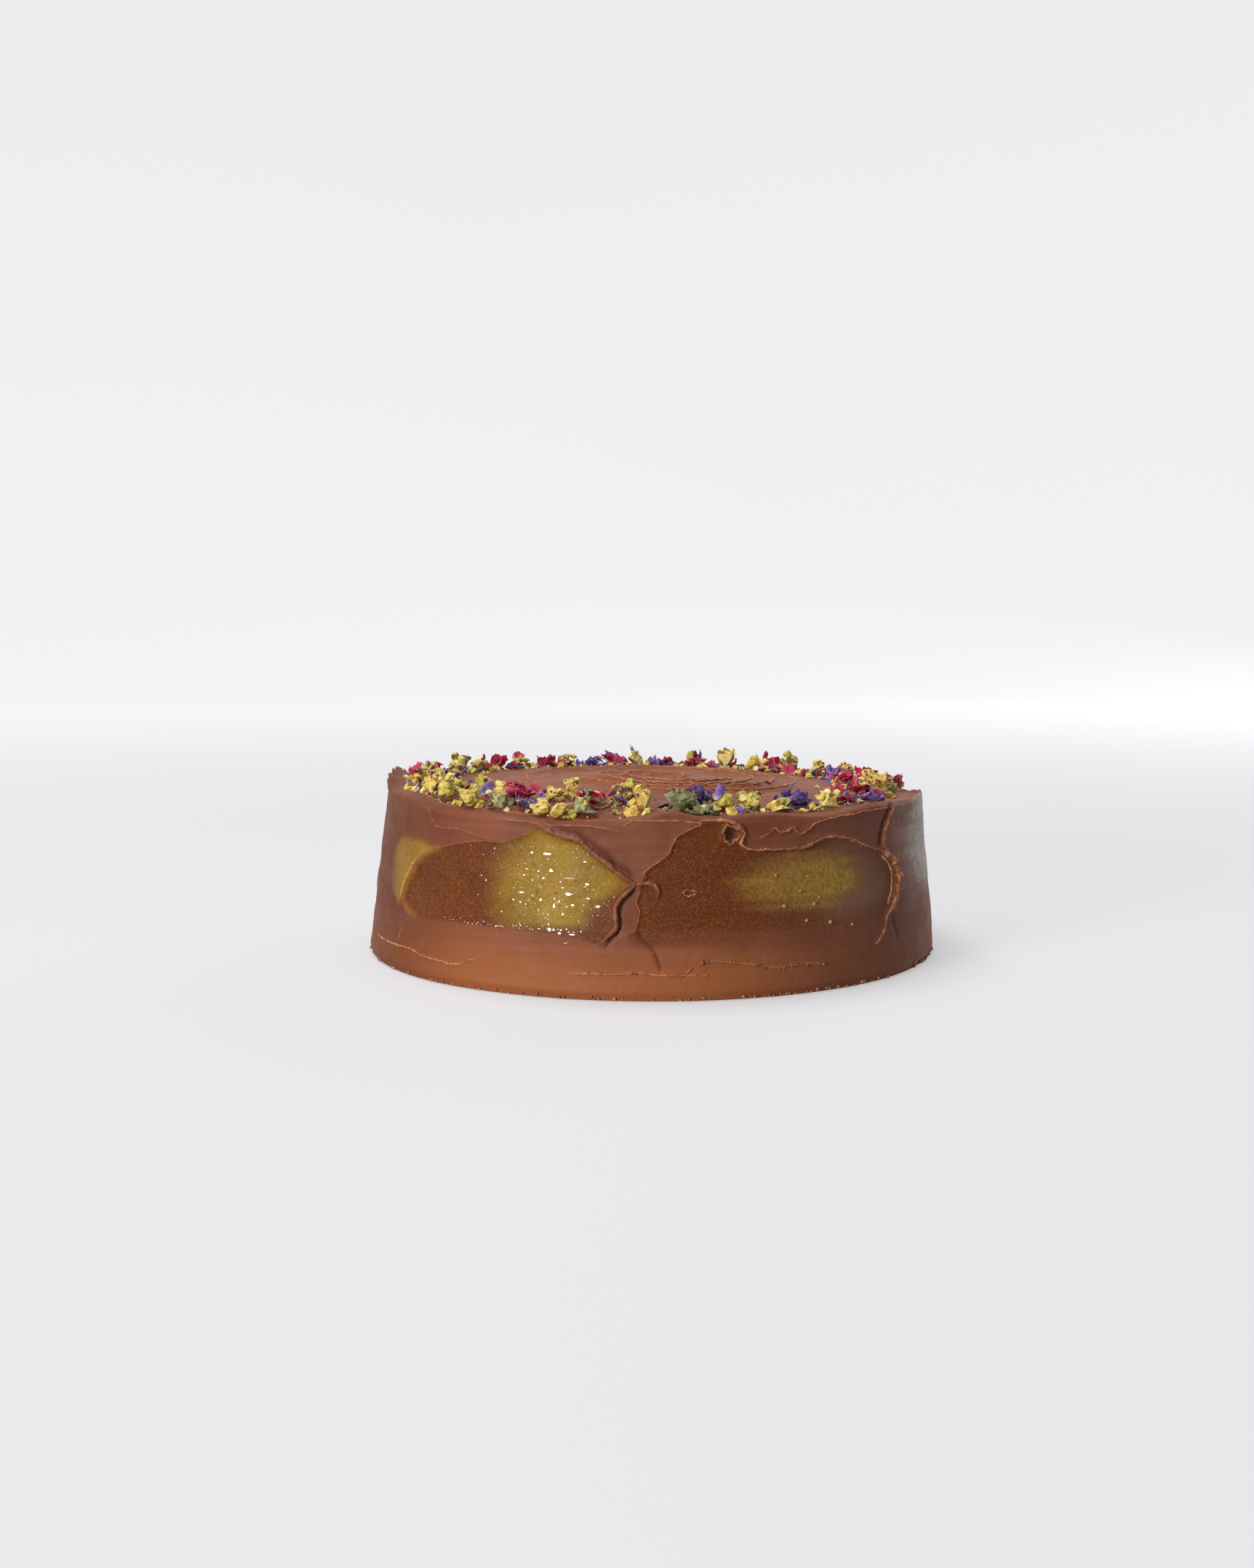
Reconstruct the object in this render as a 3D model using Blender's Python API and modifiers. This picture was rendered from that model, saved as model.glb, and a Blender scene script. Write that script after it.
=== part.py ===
"""A round cake covered in chocolate frosting, with a wreath of chopped pistachios, rose petals,
cornflowers, buds and leaves near the rim. Metres, +Z up, front towards -Y, origin at the middle of the base."""

import math
import random

import bmesh
import bpy
from mathutils import Matrix, Vector, noise
from mathutils.bvhtree import BVHTree

MM = 0.001

# Driving dimensions of the cake, in millimetres
BASE_RADIUS = 106.8
TOP_RADIUS = 100.4
HEIGHT = 59.5
CROWN = 63.2
DOME_DROP = 3.6
DOME_AT = 90.0
LEAN = 1.6
AXIS_SHIFT = 1.5
SHOULDER = 3.0
FOOT_INSET = 1.2
OUTER_SHARE = 0.85
WAVE = 0.55

# Heights of the rim round the cake: angle in degrees, 0 in front and growing to the right, then millimetres
RIM = (
    (-180, 60.2), (-150, 59.4), (-128, 60.2), (-108, 60.8), (-97, 63.6), (-88, 63.2), (-78, 61.2), (-60, 61.2),
    (-50, 58.6), (-34, 58.8), (-18, 57.5), (-7, 57.8), (3, 61.2), (10, 59.0), (22, 59.8), (34, 58.4),
    (48, 60.0), (66, 59.6), (84, 57.6), (96, 56.6), (112, 58.4), (135, 59.2), (158, 60.4),
)

# The body of revolution that the relief starts from
TURNS = 80
FRONT_CROWDING = 0.34
TOP_RINGS = (24, 50, 72, 88)
SIDE_LEVELS = (48, 38, 28, 18, 9)

# Knife ridges on the side: points of (angle, height), then thickness
MAIN_RIDGE = ((-21.3, 56.0), (-17.0, 53.4), (-13.2, 52.0), (-10.6, 48.2), (-6.1, 42.2), (-2.5, 38.0),
              (0.1, 38.3), (1.5, 36.8), (1.8, 34.2))
LOWER_BRANCH = ((-2.5, 37.8), (-4.7, 34.4), (-6.1, 30.5), (-5.9, 24.2), (-7.0, 21.9), (-8.7, 18.3))
ARCH = ((13.0, 58.4), (16.3, 57.0), (17.7, 53.8), (17.0, 51.4), (19.0, 48.7), (29.2, 48.3), (34.5, 51.0),
        (41.2, 49.7), (47.1, 45.8), (51.6, 43.2))
CREST = ((50.5, 44.3), (55.2, 39.9), (57.0, 35.5), (55.9, 28.7), (52.2, 22.8), (49.3, 18.5), (45.9, 13.0))
UPRIGHT = ((56.2, 56.8), (53.9, 54.0), (52.2, 50.4), (50.8, 45.2))
OVERLAP = ((-45.8, 45.5), (-49.5, 43.2), (-54.4, 36.1), (-57.6, 26.8), (-55.4, 22.2), (-50.0, 20.9))
SIDE_RIDGES = (
    ("main_ridge", MAIN_RIDGE, 3.0), ("lower_branch", LOWER_BRANCH, 2.2), ("arch", ARCH, 1.8),
    ("crest", CREST, 3.0), ("upright", UPRIGHT, 1.9), ("overlap", OVERLAP, 1.7),
)
# The back carries the same knife work: which ridges, turned by how many degrees, mirrored or not
BACK_STROKES = (
    (("main_ridge", "lower_branch"), 152.0, True),
    (("arch", "crest"), -158.0, False),
    (("overlap",), 70.0, True),
)
CRATER_ANGLE, CRATER_HEIGHT, CRATER_RADIUS, CRATER_THICKNESS = 15.3, 53.9, 2.9, 1.3

# Swirl on the top
SWIRL_X, SWIRL_Y = 7.0, 2.0
SWIRL_TURNS, SWIRL_START, SWIRL_PITCH = 5, 4.5, 10.3
SWIRL_THICKNESS, SWIRL_STEP = 2.2, 11.0
RIDGE_STEP, RIDGE_SINK = 5.0, 0.22

# Wreath: middle of each large topping across and towards the back, then its length, width and height
PISTACHIOS = (
    (-84, -8, 7, 6, 5), (-79, -22, 7, 6, 6), (-80, -38, 8, 6, 6), (-72, -52, 8, 6, 6), (-71, -34, 6, 5, 5),
    (-63, -68, 9, 6, 5), (-60, -45, 8, 7, 6), (-53, -60, 6, 5, 5), (-39, -86, 8, 6, 4), (-32, -90, 6, 6, 5),
    (-34, -66, 7, 6, 5), (-28, -56, 6, 5, 6), (-10, -72, 8, 6, 7), (-3, -84, 8, 6, 7), (24, -82, 8, 6, 6),
    (33, -78, 8, 7, 6), (43, -83, 9, 5, 3), (60, -68, 7, 6, 5), (82, -16, 6, 5, 4), (88, 5, 10, 7, 6),
    (86, 20, 8, 6, 6), (80, 44, 7, 5, 5), (69, 58, 7, 6, 5), (60, 70, 7, 6, 7), (45, 78, 7, 6, 5),
    (33, 84, 9, 7, 7), (-5, 90, 7, 6, 5), (-34, 84, 7, 6, 5), (-54, 70, 7, 6, 5), (-69, 52, 8, 6, 5),
    (-77, 38, 9, 7, 7), (-86, 20, 8, 6, 4),
)
ROSE_PETALS = (
    (-89, 5, 8, 6, 4), (-46, -68, 13, 8, 5), (-50, -48, 8, 7, 5), (-20, -80, 12, 9, 6), (66, -52, 8, 7, 4),
    (70, -38, 9, 7, 5), (76, -24, 9, 6, 6), (72, -8, 10, 8, 5), (83, 33, 9, 7, 4), (52, 66, 14, 8, 6),
    (20, 86, 10, 7, 5), (-15, 82, 10, 7, 5), (-43, 76, 12, 8, 5), (-62, 60, 10, 8, 6), (95, 12, 7, 6, 5),
)
CORNFLOWERS = (
    (-42, -78, 12, 8, 4), (17, -72, 9, 7, 6), (50, -68, 12, 8, 6), (77, -52, 11, 6, 4),
    (74, 32, 9, 6, 5), (6, 82, 12, 8, 4), (-24, 76, 14, 8, 5), (-90, 32, 10, 6, 5),
)
BUDS = ((-52, -76, 6, 6, 5), (-24, -87, 6, 6, 6), (90, -12, 5, 4, 4))
LEAVES = ((9, -86, 11, 7, 6),)

# Nut chips too small to be pieces of their own: how many, their size, and how near a large topping they may lie
CHIPS, CHIP_SMALLEST, CHIP_LARGEST, CHIP_CLEARANCE = 26, 2.4, 3.8, 1.0
CHIP_INNER, CHIP_OUTER = 66.0, 94.0
FOOT_CRUMBS = 6
GAP = 0.32

COLOURS = {
    "frosting": (0.100, 0.040, 0.022), "pistachio": (0.45, 0.33, 0.05), "rose": (0.33, 0.02, 0.05),
    "cornflower": (0.07, 0.04, 0.20), "bud": (0.28, 0.30, 0.12), "leaf": (0.13, 0.16, 0.07),
}


def clear_scene():
    for thing in list(bpy.data.objects):
        bpy.data.objects.remove(thing, do_unlink=True)


def collection_named(name):
    group = bpy.data.collections.new(name)
    bpy.context.scene.collection.children.link(group)
    return group


def plain_material(name, roughness):
    material = bpy.data.materials.new(name)
    material.use_nodes = True
    shader = material.node_tree.nodes["Principled BSDF"]
    shader.inputs["Base Color"].default_value = (*COLOURS[name], 1.0)
    shader.inputs["Roughness"].default_value = roughness
    return material


def smoothstep(low, high, value):
    share = min(1.0, max(0.0, (value - low) / (high - low)))
    return share * share * (3.0 - 2.0 * share)


def rim_height(angle):
    """Height of the rim at an angle, on a smooth curve through RIM."""
    angle = (angle + 180.0) % 360.0 - 180.0
    ring = RIM + ((RIM[0][0] + 360, RIM[0][1]),)
    for (low, before), (high, after) in zip(ring, ring[1:]):
        if low <= angle <= high:
            return before + (after - before) * smoothstep(low, high, angle)
    return RIM[0][1]


def top_height(radius, angle):
    """Height of the top: a low dome that leans to the right and meets the uneven rim."""
    dome = CROWN - DOME_DROP * (radius / DOME_AT) ** 2 - LEAN * radius / DOME_AT * math.sin(math.radians(angle))
    return dome + (rim_height(angle) - dome) * smoothstep(86.0, 97.0, radius)


def waviness(angle, height):
    """How far the knife left the side proud or hollow, in millimetres."""
    turn = math.radians(angle)
    broad = noise.noise(Vector((2.2 * math.sin(turn), 2.2 * math.cos(turn), height / 34.0)))
    streak = noise.noise(Vector((4.0 * math.sin(turn), 4.0 * math.cos(turn), height / 9.0 + 7.0)))
    return WAVE * (1.1 * broad + 0.8 * streak)


def side_radius(angle, height):
    share = height / HEIGHT
    taper = BASE_RADIUS + (TOP_RADIUS - BASE_RADIUS) * share
    foot = FOOT_INSET * (1.0 - smoothstep(0.0, 3.0, height))
    return taper - foot + AXIS_SHIFT * share * math.sin(math.radians(angle)) + waviness(angle, height)


def around(radius, angle, height):
    """A point in metres from a radius and height in millimetres and an angle from the front."""
    turn = math.radians(angle)
    return Vector((radius * math.sin(turn), -radius * math.cos(turn), height)) * MM


def on_side(angle, height, out):
    return around(side_radius(angle, height) + out, angle, height)


def on_top(across, back, out):
    radius = math.hypot(across, back)
    angle = math.degrees(math.atan2(across, -back))
    return Vector((across, back, top_height(radius, angle) + out)) * MM


def evaluated_mesh(thing):
    graph = bpy.context.evaluated_depsgraph_get()
    return bpy.data.meshes.new_from_object(thing.evaluated_get(graph))


def cut_into_triangles(mesh, weld=0.0):
    """Weld what lies closer than a distance, and split every face into triangles."""
    work = bmesh.new()
    work.from_mesh(mesh)
    if weld:
        bmesh.ops.remove_doubles(work, verts=work.verts, dist=weld)
    bmesh.ops.triangulate(work, faces=work.faces)
    work.to_mesh(mesh)
    work.free()


def add_object(name, mesh, group, material):
    thing = bpy.data.objects.new(name, mesh)
    mesh.materials.clear()
    mesh.materials.append(material)
    group.objects.link(thing)
    return thing


def turned_body(group, material):
    """The plain cake, turned from its profile with a rounded shoulder and an inset foot."""
    profile = [(0.0, HEIGHT)]
    profile += [(radius, HEIGHT) for radius in TOP_RINGS]
    for step in range(4):
        bend = math.radians(30.0 * step)
        inset = SHOULDER * (1.0 - math.sin(bend))
        profile.append((TOP_RADIUS - inset, HEIGHT - SHOULDER * (1.0 - math.cos(bend))))
    profile += [(TOP_RADIUS, height) for height in SIDE_LEVELS]
    profile += [(TOP_RADIUS, 3.0), (TOP_RADIUS, 0.0), (0.0, 0.0)]
    mesh = bpy.data.meshes.new("cake_profile")
    edges = [(i, i + 1) for i in range(len(profile) - 1)]
    mesh.from_pydata([(radius * MM, 0.0, height * MM) for radius, height in profile], edges, [])
    lathe = add_object("cake_profile", mesh, group, material)
    turn = lathe.modifiers.new("turn", "SCREW")
    turn.steps = turn.render_steps = TURNS
    turn.use_merge_vertices = True
    turn.merge_threshold = 0.00001
    body = add_object("cake", evaluated_mesh(lathe), group, material)
    bpy.data.objects.remove(lathe)
    for vertex in body.data.vertices:
        vertex.co = shaped(vertex.co / MM)
    cut_into_triangles(body.data)
    return body


def shaped(point):
    """Where a point of the turned body goes: crowded to the front, then given rim, dome, taper and waves."""
    radius = math.hypot(point.x, point.y)
    if radius < 0.01:
        return Vector((0.0, 0.0, 0.0 if point.z < 1.0 else top_height(0.0, 0.0) * MM))
    turn = math.atan2(point.x, -point.y)
    angle = math.degrees(turn - FRONT_CROWDING * math.sin(turn))
    height = point.z / HEIGHT * top_height(min(radius, 97.0), angle)
    share = radius / TOP_RADIUS
    if share > OUTER_SHARE:
        radius = share * side_radius(angle, height)
    return around(radius, angle, height)


def smooth_line(points, step):
    """Points a step apart on a Catmull-Rom curve through the given ones."""
    padded = [Vector(points[0]), *map(Vector, points), Vector(points[-1])]
    line = []
    for a, b, c, d in zip(padded, padded[1:], padded[2:], padded[3:]):
        pieces = max(1, round((c - b).length / step))
        for i in range(pieces):
            t = i / pieces
            line.append(0.5 * (2 * b + (c - a) * t + (2 * a - 5 * b + 4 * c - d) * t * t
                               + (3 * b - a - 3 * c + d) * t ** 3))
    line.append(padded[-1])
    return line


def strand(name, points, thickness, group, material):
    """A ridge of frosting: a tube that thins towards both ends, made a mesh with welded caps."""
    curve = bpy.data.curves.new(name, "CURVE")
    curve.dimensions = "3D"
    curve.bevel_depth = thickness / 2 * MM
    curve.bevel_resolution = 0
    curve.use_fill_caps = True
    spline = curve.splines.new("POLY")
    spline.points.add(len(points) - 1)
    last = len(points) - 1
    for i, (target, point) in enumerate(zip(spline.points, points)):
        target.co = (*point, 1.0)
        target.radius = 0.35 + 0.65 * min(1.0, 3.2 * min(i, last - i) / last) + 0.1 * math.sin(2.3 * i)
    guide = bpy.data.objects.new(name, curve)
    group.objects.link(guide)
    mesh = evaluated_mesh(guide)
    bpy.data.objects.remove(guide)
    cut_into_triangles(mesh, weld=0.00001)
    return add_object(name, mesh, group, material)


def side_strand(name, points, thickness, turn, mirrored, group, material):
    """A ridge on the side, given by angle and height and sunk a little into the frosting."""
    around_mm = math.radians(1.0) * TOP_RADIUS
    flat = smooth_line([(angle * around_mm, height, 0.0) for angle, height in points], RIDGE_STEP)
    sign = -1.0 if mirrored else 1.0
    out = thickness * (0.5 - RIDGE_SINK)
    places = [on_side(sign * place.x / around_mm + turn, min(place.y, 57.5), out) for place in flat]
    return strand(name, places, thickness, group, material)


def side_ridges(group, material):
    named = {name: (points, thickness) for name, points, thickness in SIDE_RIDGES}
    for name, (points, thickness) in named.items():
        side_strand(name, points, thickness, 0.0, False, group, material)
    for number, (names, turn, mirrored) in enumerate(BACK_STROKES):
        for name in names:
            points, thickness = named[name]
            side_strand(f"{name}_back_{number}", points, thickness, turn, mirrored, group, material)


def crater_ring(group, material):
    """The ragged ring left where a bubble of frosting broke."""
    places = []
    for step in range(12):
        turn = math.tau * step / 12
        reach = CRATER_RADIUS * (1.0 + 0.12 * math.sin(3 * turn + 1.0))
        angle = CRATER_ANGLE + math.degrees(reach * math.cos(turn) / TOP_RADIUS)
        places.append(on_side(angle, CRATER_HEIGHT + reach * math.sin(turn), CRATER_THICKNESS * 0.2))
    strand("crater", places, CRATER_THICKNESS, group, material)


def swirl(group, material):
    """The knife's spiral on the top, broken once in each turn."""
    for turn in range(SWIRL_TURNS):
        start = 80.0 + 65.0 * turn
        sweep = 150.0 if turn == 0 else 322.0
        points = []
        first = SWIRL_START + SWIRL_PITCH * turn
        pieces = max(6, round(math.radians(sweep) * (first + SWIRL_PITCH / 2) / SWIRL_STEP))
        for i in range(pieces + 1):
            share = i / pieces
            heading = math.radians(start + sweep * share)
            radius = first + SWIRL_PITCH * share * 0.9 + 0.5 * math.sin(5.0 * heading + turn)
            across, back = SWIRL_X + radius * math.sin(heading), SWIRL_Y - radius * math.cos(heading)
            points.append(on_top(across, back, SWIRL_THICKNESS * (0.5 - RIDGE_SINK)))
        strand(f"swirl_{turn}", points, SWIRL_THICKNESS, group, material)


def lump(name, place, size, seed, cuts, group, material, detail=2):
    """A broken piece: a rounded lump with flat cut faces."""
    draw = random.Random(seed)
    work = bmesh.new()
    bmesh.ops.create_icosphere(work, subdivisions=detail, radius=0.5)
    planes = []
    for _ in range(cuts):
        heading = Vector((draw.uniform(-1, 1), draw.uniform(-1, 1), draw.uniform(-0.4, 1))).normalized()
        planes.append((heading, draw.uniform(0.26, 0.38)))
    turn = Matrix.Rotation(draw.uniform(0, math.tau), 3, "Z")
    for vertex in work.verts:
        spot = vertex.co.copy()
        spot *= 1.0 + 0.30 * noise.noise(spot * 3.1 + Vector((seed * 1.7, 0.0, 0.0)))
        for heading, reach in planes:
            over = spot.dot(heading) - reach
            if over > 0:
                spot -= heading * over * 0.9
        vertex.co = turn @ Vector((spot.x * size[0], spot.y * size[1], spot.z * size[2])) * MM + place
    mesh = bpy.data.meshes.new(name)
    work.to_mesh(mesh)
    work.free()
    return add_object(name, mesh, group, material)


def thin_solid(name, sheet, thickness, group, material):
    """A wavy sheet, cut into triangles and given a thickness, so that both its faces are split alike."""
    bmesh.ops.triangulate(sheet, faces=sheet.faces)
    mesh = bpy.data.meshes.new(name)
    sheet.to_mesh(mesh)
    sheet.free()
    piece = add_object(name, mesh, group, material)
    skin = piece.modifiers.new("thickness", "SOLIDIFY")
    skin.thickness = thickness * MM
    skin.offset = 0.0
    piece.data = evaluated_mesh(piece)
    piece.modifiers.clear()
    return piece


def petal(name, place, size, seed, point, fold, group, material):
    """A dried petal or leaf: an oval sheet, cupped, folded along its middle and curled at its end."""
    draw = random.Random(seed)
    length, width, height = size
    work = bmesh.new()
    bmesh.ops.create_grid(work, x_segments=5, y_segments=4, size=0.5)
    turn = Matrix.Rotation(draw.uniform(0, math.tau), 3, "Z") @ Matrix.Rotation(draw.uniform(-0.3, 0.3), 3, "X")
    for vertex in work.verts:
        along, side = vertex.co.x + 0.5, 2.0 * vertex.co.y
        breadth = 0.22 + 0.78 * math.sin(math.pi * min(1.0, 0.08 + 0.92 * along) ** point) ** 0.8
        ripple = noise.noise(Vector((3.0 * along, 1.6 * side, seed * 2.3)))
        lift = 0.45 * side * side * (0.4 + along) + 0.5 * along * along - fold * (1.0 - abs(side)) + 0.5 * ripple
        spot = Vector(((along - 0.5) * length, side * breadth * width / 2, lift * height * 0.7))
        vertex.co = turn @ spot * MM + place
    return thin_solid(name, work, 0.6, group, material)


def blossom(name, place, size, seed, group, material):
    """A crushed cornflower: a cupped sheet with pointed lobes."""
    draw = random.Random(seed)
    length, width, height = size
    work = bmesh.new()
    lobes = 7
    middle = work.verts.new(place + Vector((0.0, 0.0, 0.1 * height)) * MM)
    turn = Matrix.Rotation(draw.uniform(0, math.tau), 3, "Z")
    rings = []
    for reach, lift in ((0.45, 0.25), (1.0, 0.8)):
        ring = []
        for i in range(2 * lobes):
            heading = math.tau * i / (2 * lobes)
            out = reach * (draw.uniform(0.8, 1.0) if i % 2 else 1.0 - 0.38 * reach)
            rise = lift * draw.uniform(0.35, 1.0)
            spot = Vector((out * length / 2 * math.cos(heading), out * width / 2 * math.sin(heading), rise * height))
            ring.append(work.verts.new(turn @ spot * MM + place))
        rings.append(ring)
    inner, outer = rings
    for i in range(2 * lobes):
        after = (i + 1) % (2 * lobes)
        work.faces.new((middle, inner[i], inner[after]))
        work.faces.new((inner[i], outer[i], outer[after], inner[after]))
    return thin_solid(name, work, 0.7, group, material)


def tree_of(things):
    """A search tree over the surfaces of several objects."""
    points, faces = [], []
    for thing in things:
        start = len(points)
        points += [vertex.co.copy() for vertex in thing.data.vertices]
        faces += [tuple(start + i for i in polygon.vertices) for polygon in thing.data.polygons]
    return BVHTree.FromPolygons(points, faces)


def settle(piece, below):
    """Lower a piece until it is a hair above whatever lies under it."""
    ground, own = tree_of(below), tree_of([piece])
    down, up = Vector((0, 0, -1)), Vector((0, 0, 1))
    space = math.inf
    for vertex in piece.data.vertices:
        hit = ground.ray_cast(vertex.co, down)
        if hit[0] is not None:
            space = min(space, hit[3])
    for thing in below:
        for vertex in thing.data.vertices:
            hit = own.ray_cast(vertex.co, up)
            if hit[0] is not None:
                space = min(space, hit[3])
    drop = space - GAP * MM
    for vertex in piece.data.vertices:
        vertex.co.z -= drop


def wreath_pieces():
    """Every large topping as its name's stem, place and size."""
    for stem, pieces in (("pistachio", PISTACHIOS), ("rose_petal", ROSE_PETALS), ("cornflower", CORNFLOWERS),
                         ("bud", BUDS), ("leaf", LEAVES)):
        for number, (across, back, *size) in enumerate(pieces, 1):
            yield stem, number, across, back, size


def wreath(cake, group, materials):
    """The large toppings, each set down on the cake and on those before it."""
    laid = [cake]
    for stem, number, across, back, size in wreath_pieces():
        name = f"{stem}_{number:02d}"
        place = Vector((across, back, 100.0)) * MM
        seed = 10 * number + len(stem)
        if stem in ("pistachio", "bud"):
            cuts = 3 if stem == "pistachio" else 0
            piece = lump(name, place, size, seed, cuts, group, materials[stem])
        elif stem == "cornflower":
            piece = blossom(name, place, size, seed, group, materials[stem])
        elif stem == "leaf":
            piece = petal(name, place, size, seed, 0.8, 0.5, group, materials[stem])
        else:
            piece = petal(name, place, size, seed, 1.3, 0.1, group, materials[stem])
        settle(piece, laid)
        laid.append(piece)


def chips(group, material):
    """Nut chips between the large toppings and crumbs of frosting at the foot."""
    draw = random.Random(5)
    taken = [(across, back, max(size[:2]) / 2) for _, _, across, back, size in wreath_pieces()]
    made = 0
    while made < CHIPS:
        angle = draw.uniform(-180, 180)
        radius = CHIP_INNER + (CHIP_OUTER - CHIP_INNER) * draw.random() ** 0.6
        size = draw.uniform(CHIP_SMALLEST, CHIP_LARGEST)
        spot = around(radius, angle, 0.0) / MM
        if any(math.hypot(spot.x - x, spot.y - y) < reach + size / 2 + CHIP_CLEARANCE for x, y, reach in taken):
            continue
        taken.append((spot.x, spot.y, size / 2))
        lump(f"chip_{made}", on_top(spot.x, spot.y, size * 0.1), (size, size * 0.8, size * 0.8), made, 1,
             group, material, detail=1)
        made += 1
    for number in range(FOOT_CRUMBS):
        angle = draw.uniform(-180, 180)
        size = draw.uniform(1.6, 2.6)
        lump(f"foot_crumb_{number}", on_side(angle, size * 0.62, 0.2), (size, size, size * 0.9), number, 0,
             group, material, detail=1)


def fuse(body, group):
    """Join everything in the collection to the body, then drop the collection's objects."""
    union = body.modifiers.new("fuse", "BOOLEAN")
    union.operation = "UNION"
    union.operand_type = "COLLECTION"
    union.collection = group
    union.solver = "EXACT"
    fused = evaluated_mesh(body)
    cut_into_triangles(fused)
    body.modifiers.clear()
    body.data = fused
    for thing in list(group.objects):
        bpy.data.objects.remove(thing, do_unlink=True)
    bpy.data.collections.remove(group)


def main():
    clear_scene()
    roughness = {"frosting": 0.5, "pistachio": 0.6, "rose": 0.55, "cornflower": 0.7, "bud": 0.8, "leaf": 0.8}
    finishes = {name: plain_material(name, value) for name, value in roughness.items()}
    materials = {"pistachio": finishes["pistachio"], "rose_petal": finishes["rose"],
                 "cornflower": finishes["cornflower"], "bud": finishes["bud"], "leaf": finishes["leaf"]}
    whole = collection_named("frosted_cake")
    relief = collection_named("relief")
    cake = turned_body(whole, finishes["frosting"])
    side_ridges(relief, finishes["frosting"])
    crater_ring(relief, finishes["frosting"])
    swirl(relief, finishes["frosting"])
    chips(relief, finishes["frosting"])
    fuse(cake, relief)
    cake.data.shade_smooth()
    cake.data.set_sharp_from_angle(angle=math.radians(35.0))
    wreath(cake, whole, materials)


main()
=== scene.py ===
"""The looks of a round cake in chocolate frosting, with a wreath of chopped nuts and dried flowers.

Metres, +Z up, front towards -Y. Lengths in the tables are millimetres, and angles are degrees from the front,
growing to the right. The frosting is one fine mesh on the same surface as the solid. The torn edges of its
knife strokes, its crumbs and its wet places lie on it. Each large topping is a detailed shape in the box of
the solid that it stands for, and small chips and bits are strewn between them."""

import math
import random

import bmesh
import bpy
import numpy as np
from mathutils import Matrix, Vector, noise
from mathutils.bvhtree import BVHTree

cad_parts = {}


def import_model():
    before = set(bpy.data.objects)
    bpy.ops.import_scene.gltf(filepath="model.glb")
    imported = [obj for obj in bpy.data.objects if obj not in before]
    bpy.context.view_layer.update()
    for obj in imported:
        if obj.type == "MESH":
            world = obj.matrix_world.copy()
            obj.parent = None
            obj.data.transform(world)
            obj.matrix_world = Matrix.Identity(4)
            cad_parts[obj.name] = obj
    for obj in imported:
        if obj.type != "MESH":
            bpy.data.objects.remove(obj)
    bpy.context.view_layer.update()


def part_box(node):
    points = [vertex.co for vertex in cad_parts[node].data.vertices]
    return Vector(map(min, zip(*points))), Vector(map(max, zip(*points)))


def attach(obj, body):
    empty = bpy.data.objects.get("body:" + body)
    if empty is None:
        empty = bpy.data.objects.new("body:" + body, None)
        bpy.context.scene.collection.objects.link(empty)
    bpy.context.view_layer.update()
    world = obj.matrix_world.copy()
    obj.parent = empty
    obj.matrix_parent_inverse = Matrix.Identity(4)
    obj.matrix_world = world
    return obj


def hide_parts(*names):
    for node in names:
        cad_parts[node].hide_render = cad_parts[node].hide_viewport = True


MM = 0.001

# Driving dimensions of the cake
BASE_RADIUS, TOP_RADIUS, HEIGHT = 106.8, 100.4, 59.5
CROWN, DOME_DROP, DOME_AT, LEAN = 63.2, 3.6, 90.0, 1.6
DOME_END, RIM_START = 86.0, 97.0  # radii between which the dome turns into the uneven rim
AXIS_SHIFT, FOOT_INSET, OUTER_SHARE, WAVE = 1.5, 1.2, 0.85, 0.55
SIDE_REACH = 103.0  # middle radius of the side, which turns an angle into a length along it
DEGREE = math.radians(1.0) * SIDE_REACH

# Heights of the rim round the cake: angle, then height
RIM = (
    (-180, 60.2), (-150, 59.4), (-128, 60.2), (-108, 60.8), (-97, 63.6), (-88, 63.2), (-78, 61.2),
    (-60, 61.2), (-50, 58.6), (-34, 58.8), (-18, 57.5), (-7, 57.8), (3, 61.2), (10, 59.0), (22, 59.8),
    (34, 58.4), (48, 60.0), (66, 59.6), (84, 57.6), (96, 56.6), (112, 58.4), (135, 59.2), (158, 60.4),
)

# How finely the frosting is divided
COLUMNS = 720
COLUMN_CROWDING = 0.45
SIDE_ROW = 0.86
SHOULDER_ROWS = 5
SHARP_SHOULDER = 1.7  # the rim is sharper than the solid's
FOOT_ROWS, FIRST_SIDE_ROW = (0.0, 0.5, 1.1, 1.8), 2.5
TOP_ROW = 0.95
HALVED_AT = (70.0, 36.0, 13.0)

# Knife strokes on the side as points of angle and height
MAIN_RIDGE = (
    (-21.3, 56.0), (-17.0, 53.4), (-13.2, 52.0), (-10.6, 48.2), (-8.3, 45.4), (-6.1, 42.2), (-2.5, 38.0),
)
HOOK = ((-2.5, 38.0), (0.1, 38.3), (1.4, 36.8), (1.7, 34.2))
LOWER_BRANCH = ((-2.5, 37.8), (-4.7, 34.4), (-6.1, 30.5), (-5.9, 24.2), (-7.0, 21.9), (-8.7, 18.3))
ARCH = (
    (8.9, 58.2), (13.0, 58.6), (16.3, 57.0), (17.7, 53.8), (17.0, 51.4), (17.6, 49.8), (19.0, 48.7),
    (24.0, 48.5), (29.2, 48.3), (31.0, 49.1), (34.5, 51.0), (38.2, 51.0), (41.2, 49.7), (44.0, 47.9),
    (47.1, 45.8), (50.5, 44.3),
)
CREST = (
    (50.5, 44.3), (51.8, 42.3), (53.8, 39.9), (55.2, 35.8), (55.1, 32.1), (54.2, 28.7), (53.0, 25.2),
    (51.8, 22.8),
)
CREST_TAIL = ((52.2, 23.6), (50.6, 21.3), (49.9, 18.5), (49.2, 16.6), (48.4, 15.1), (46.8, 13.0))
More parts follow.
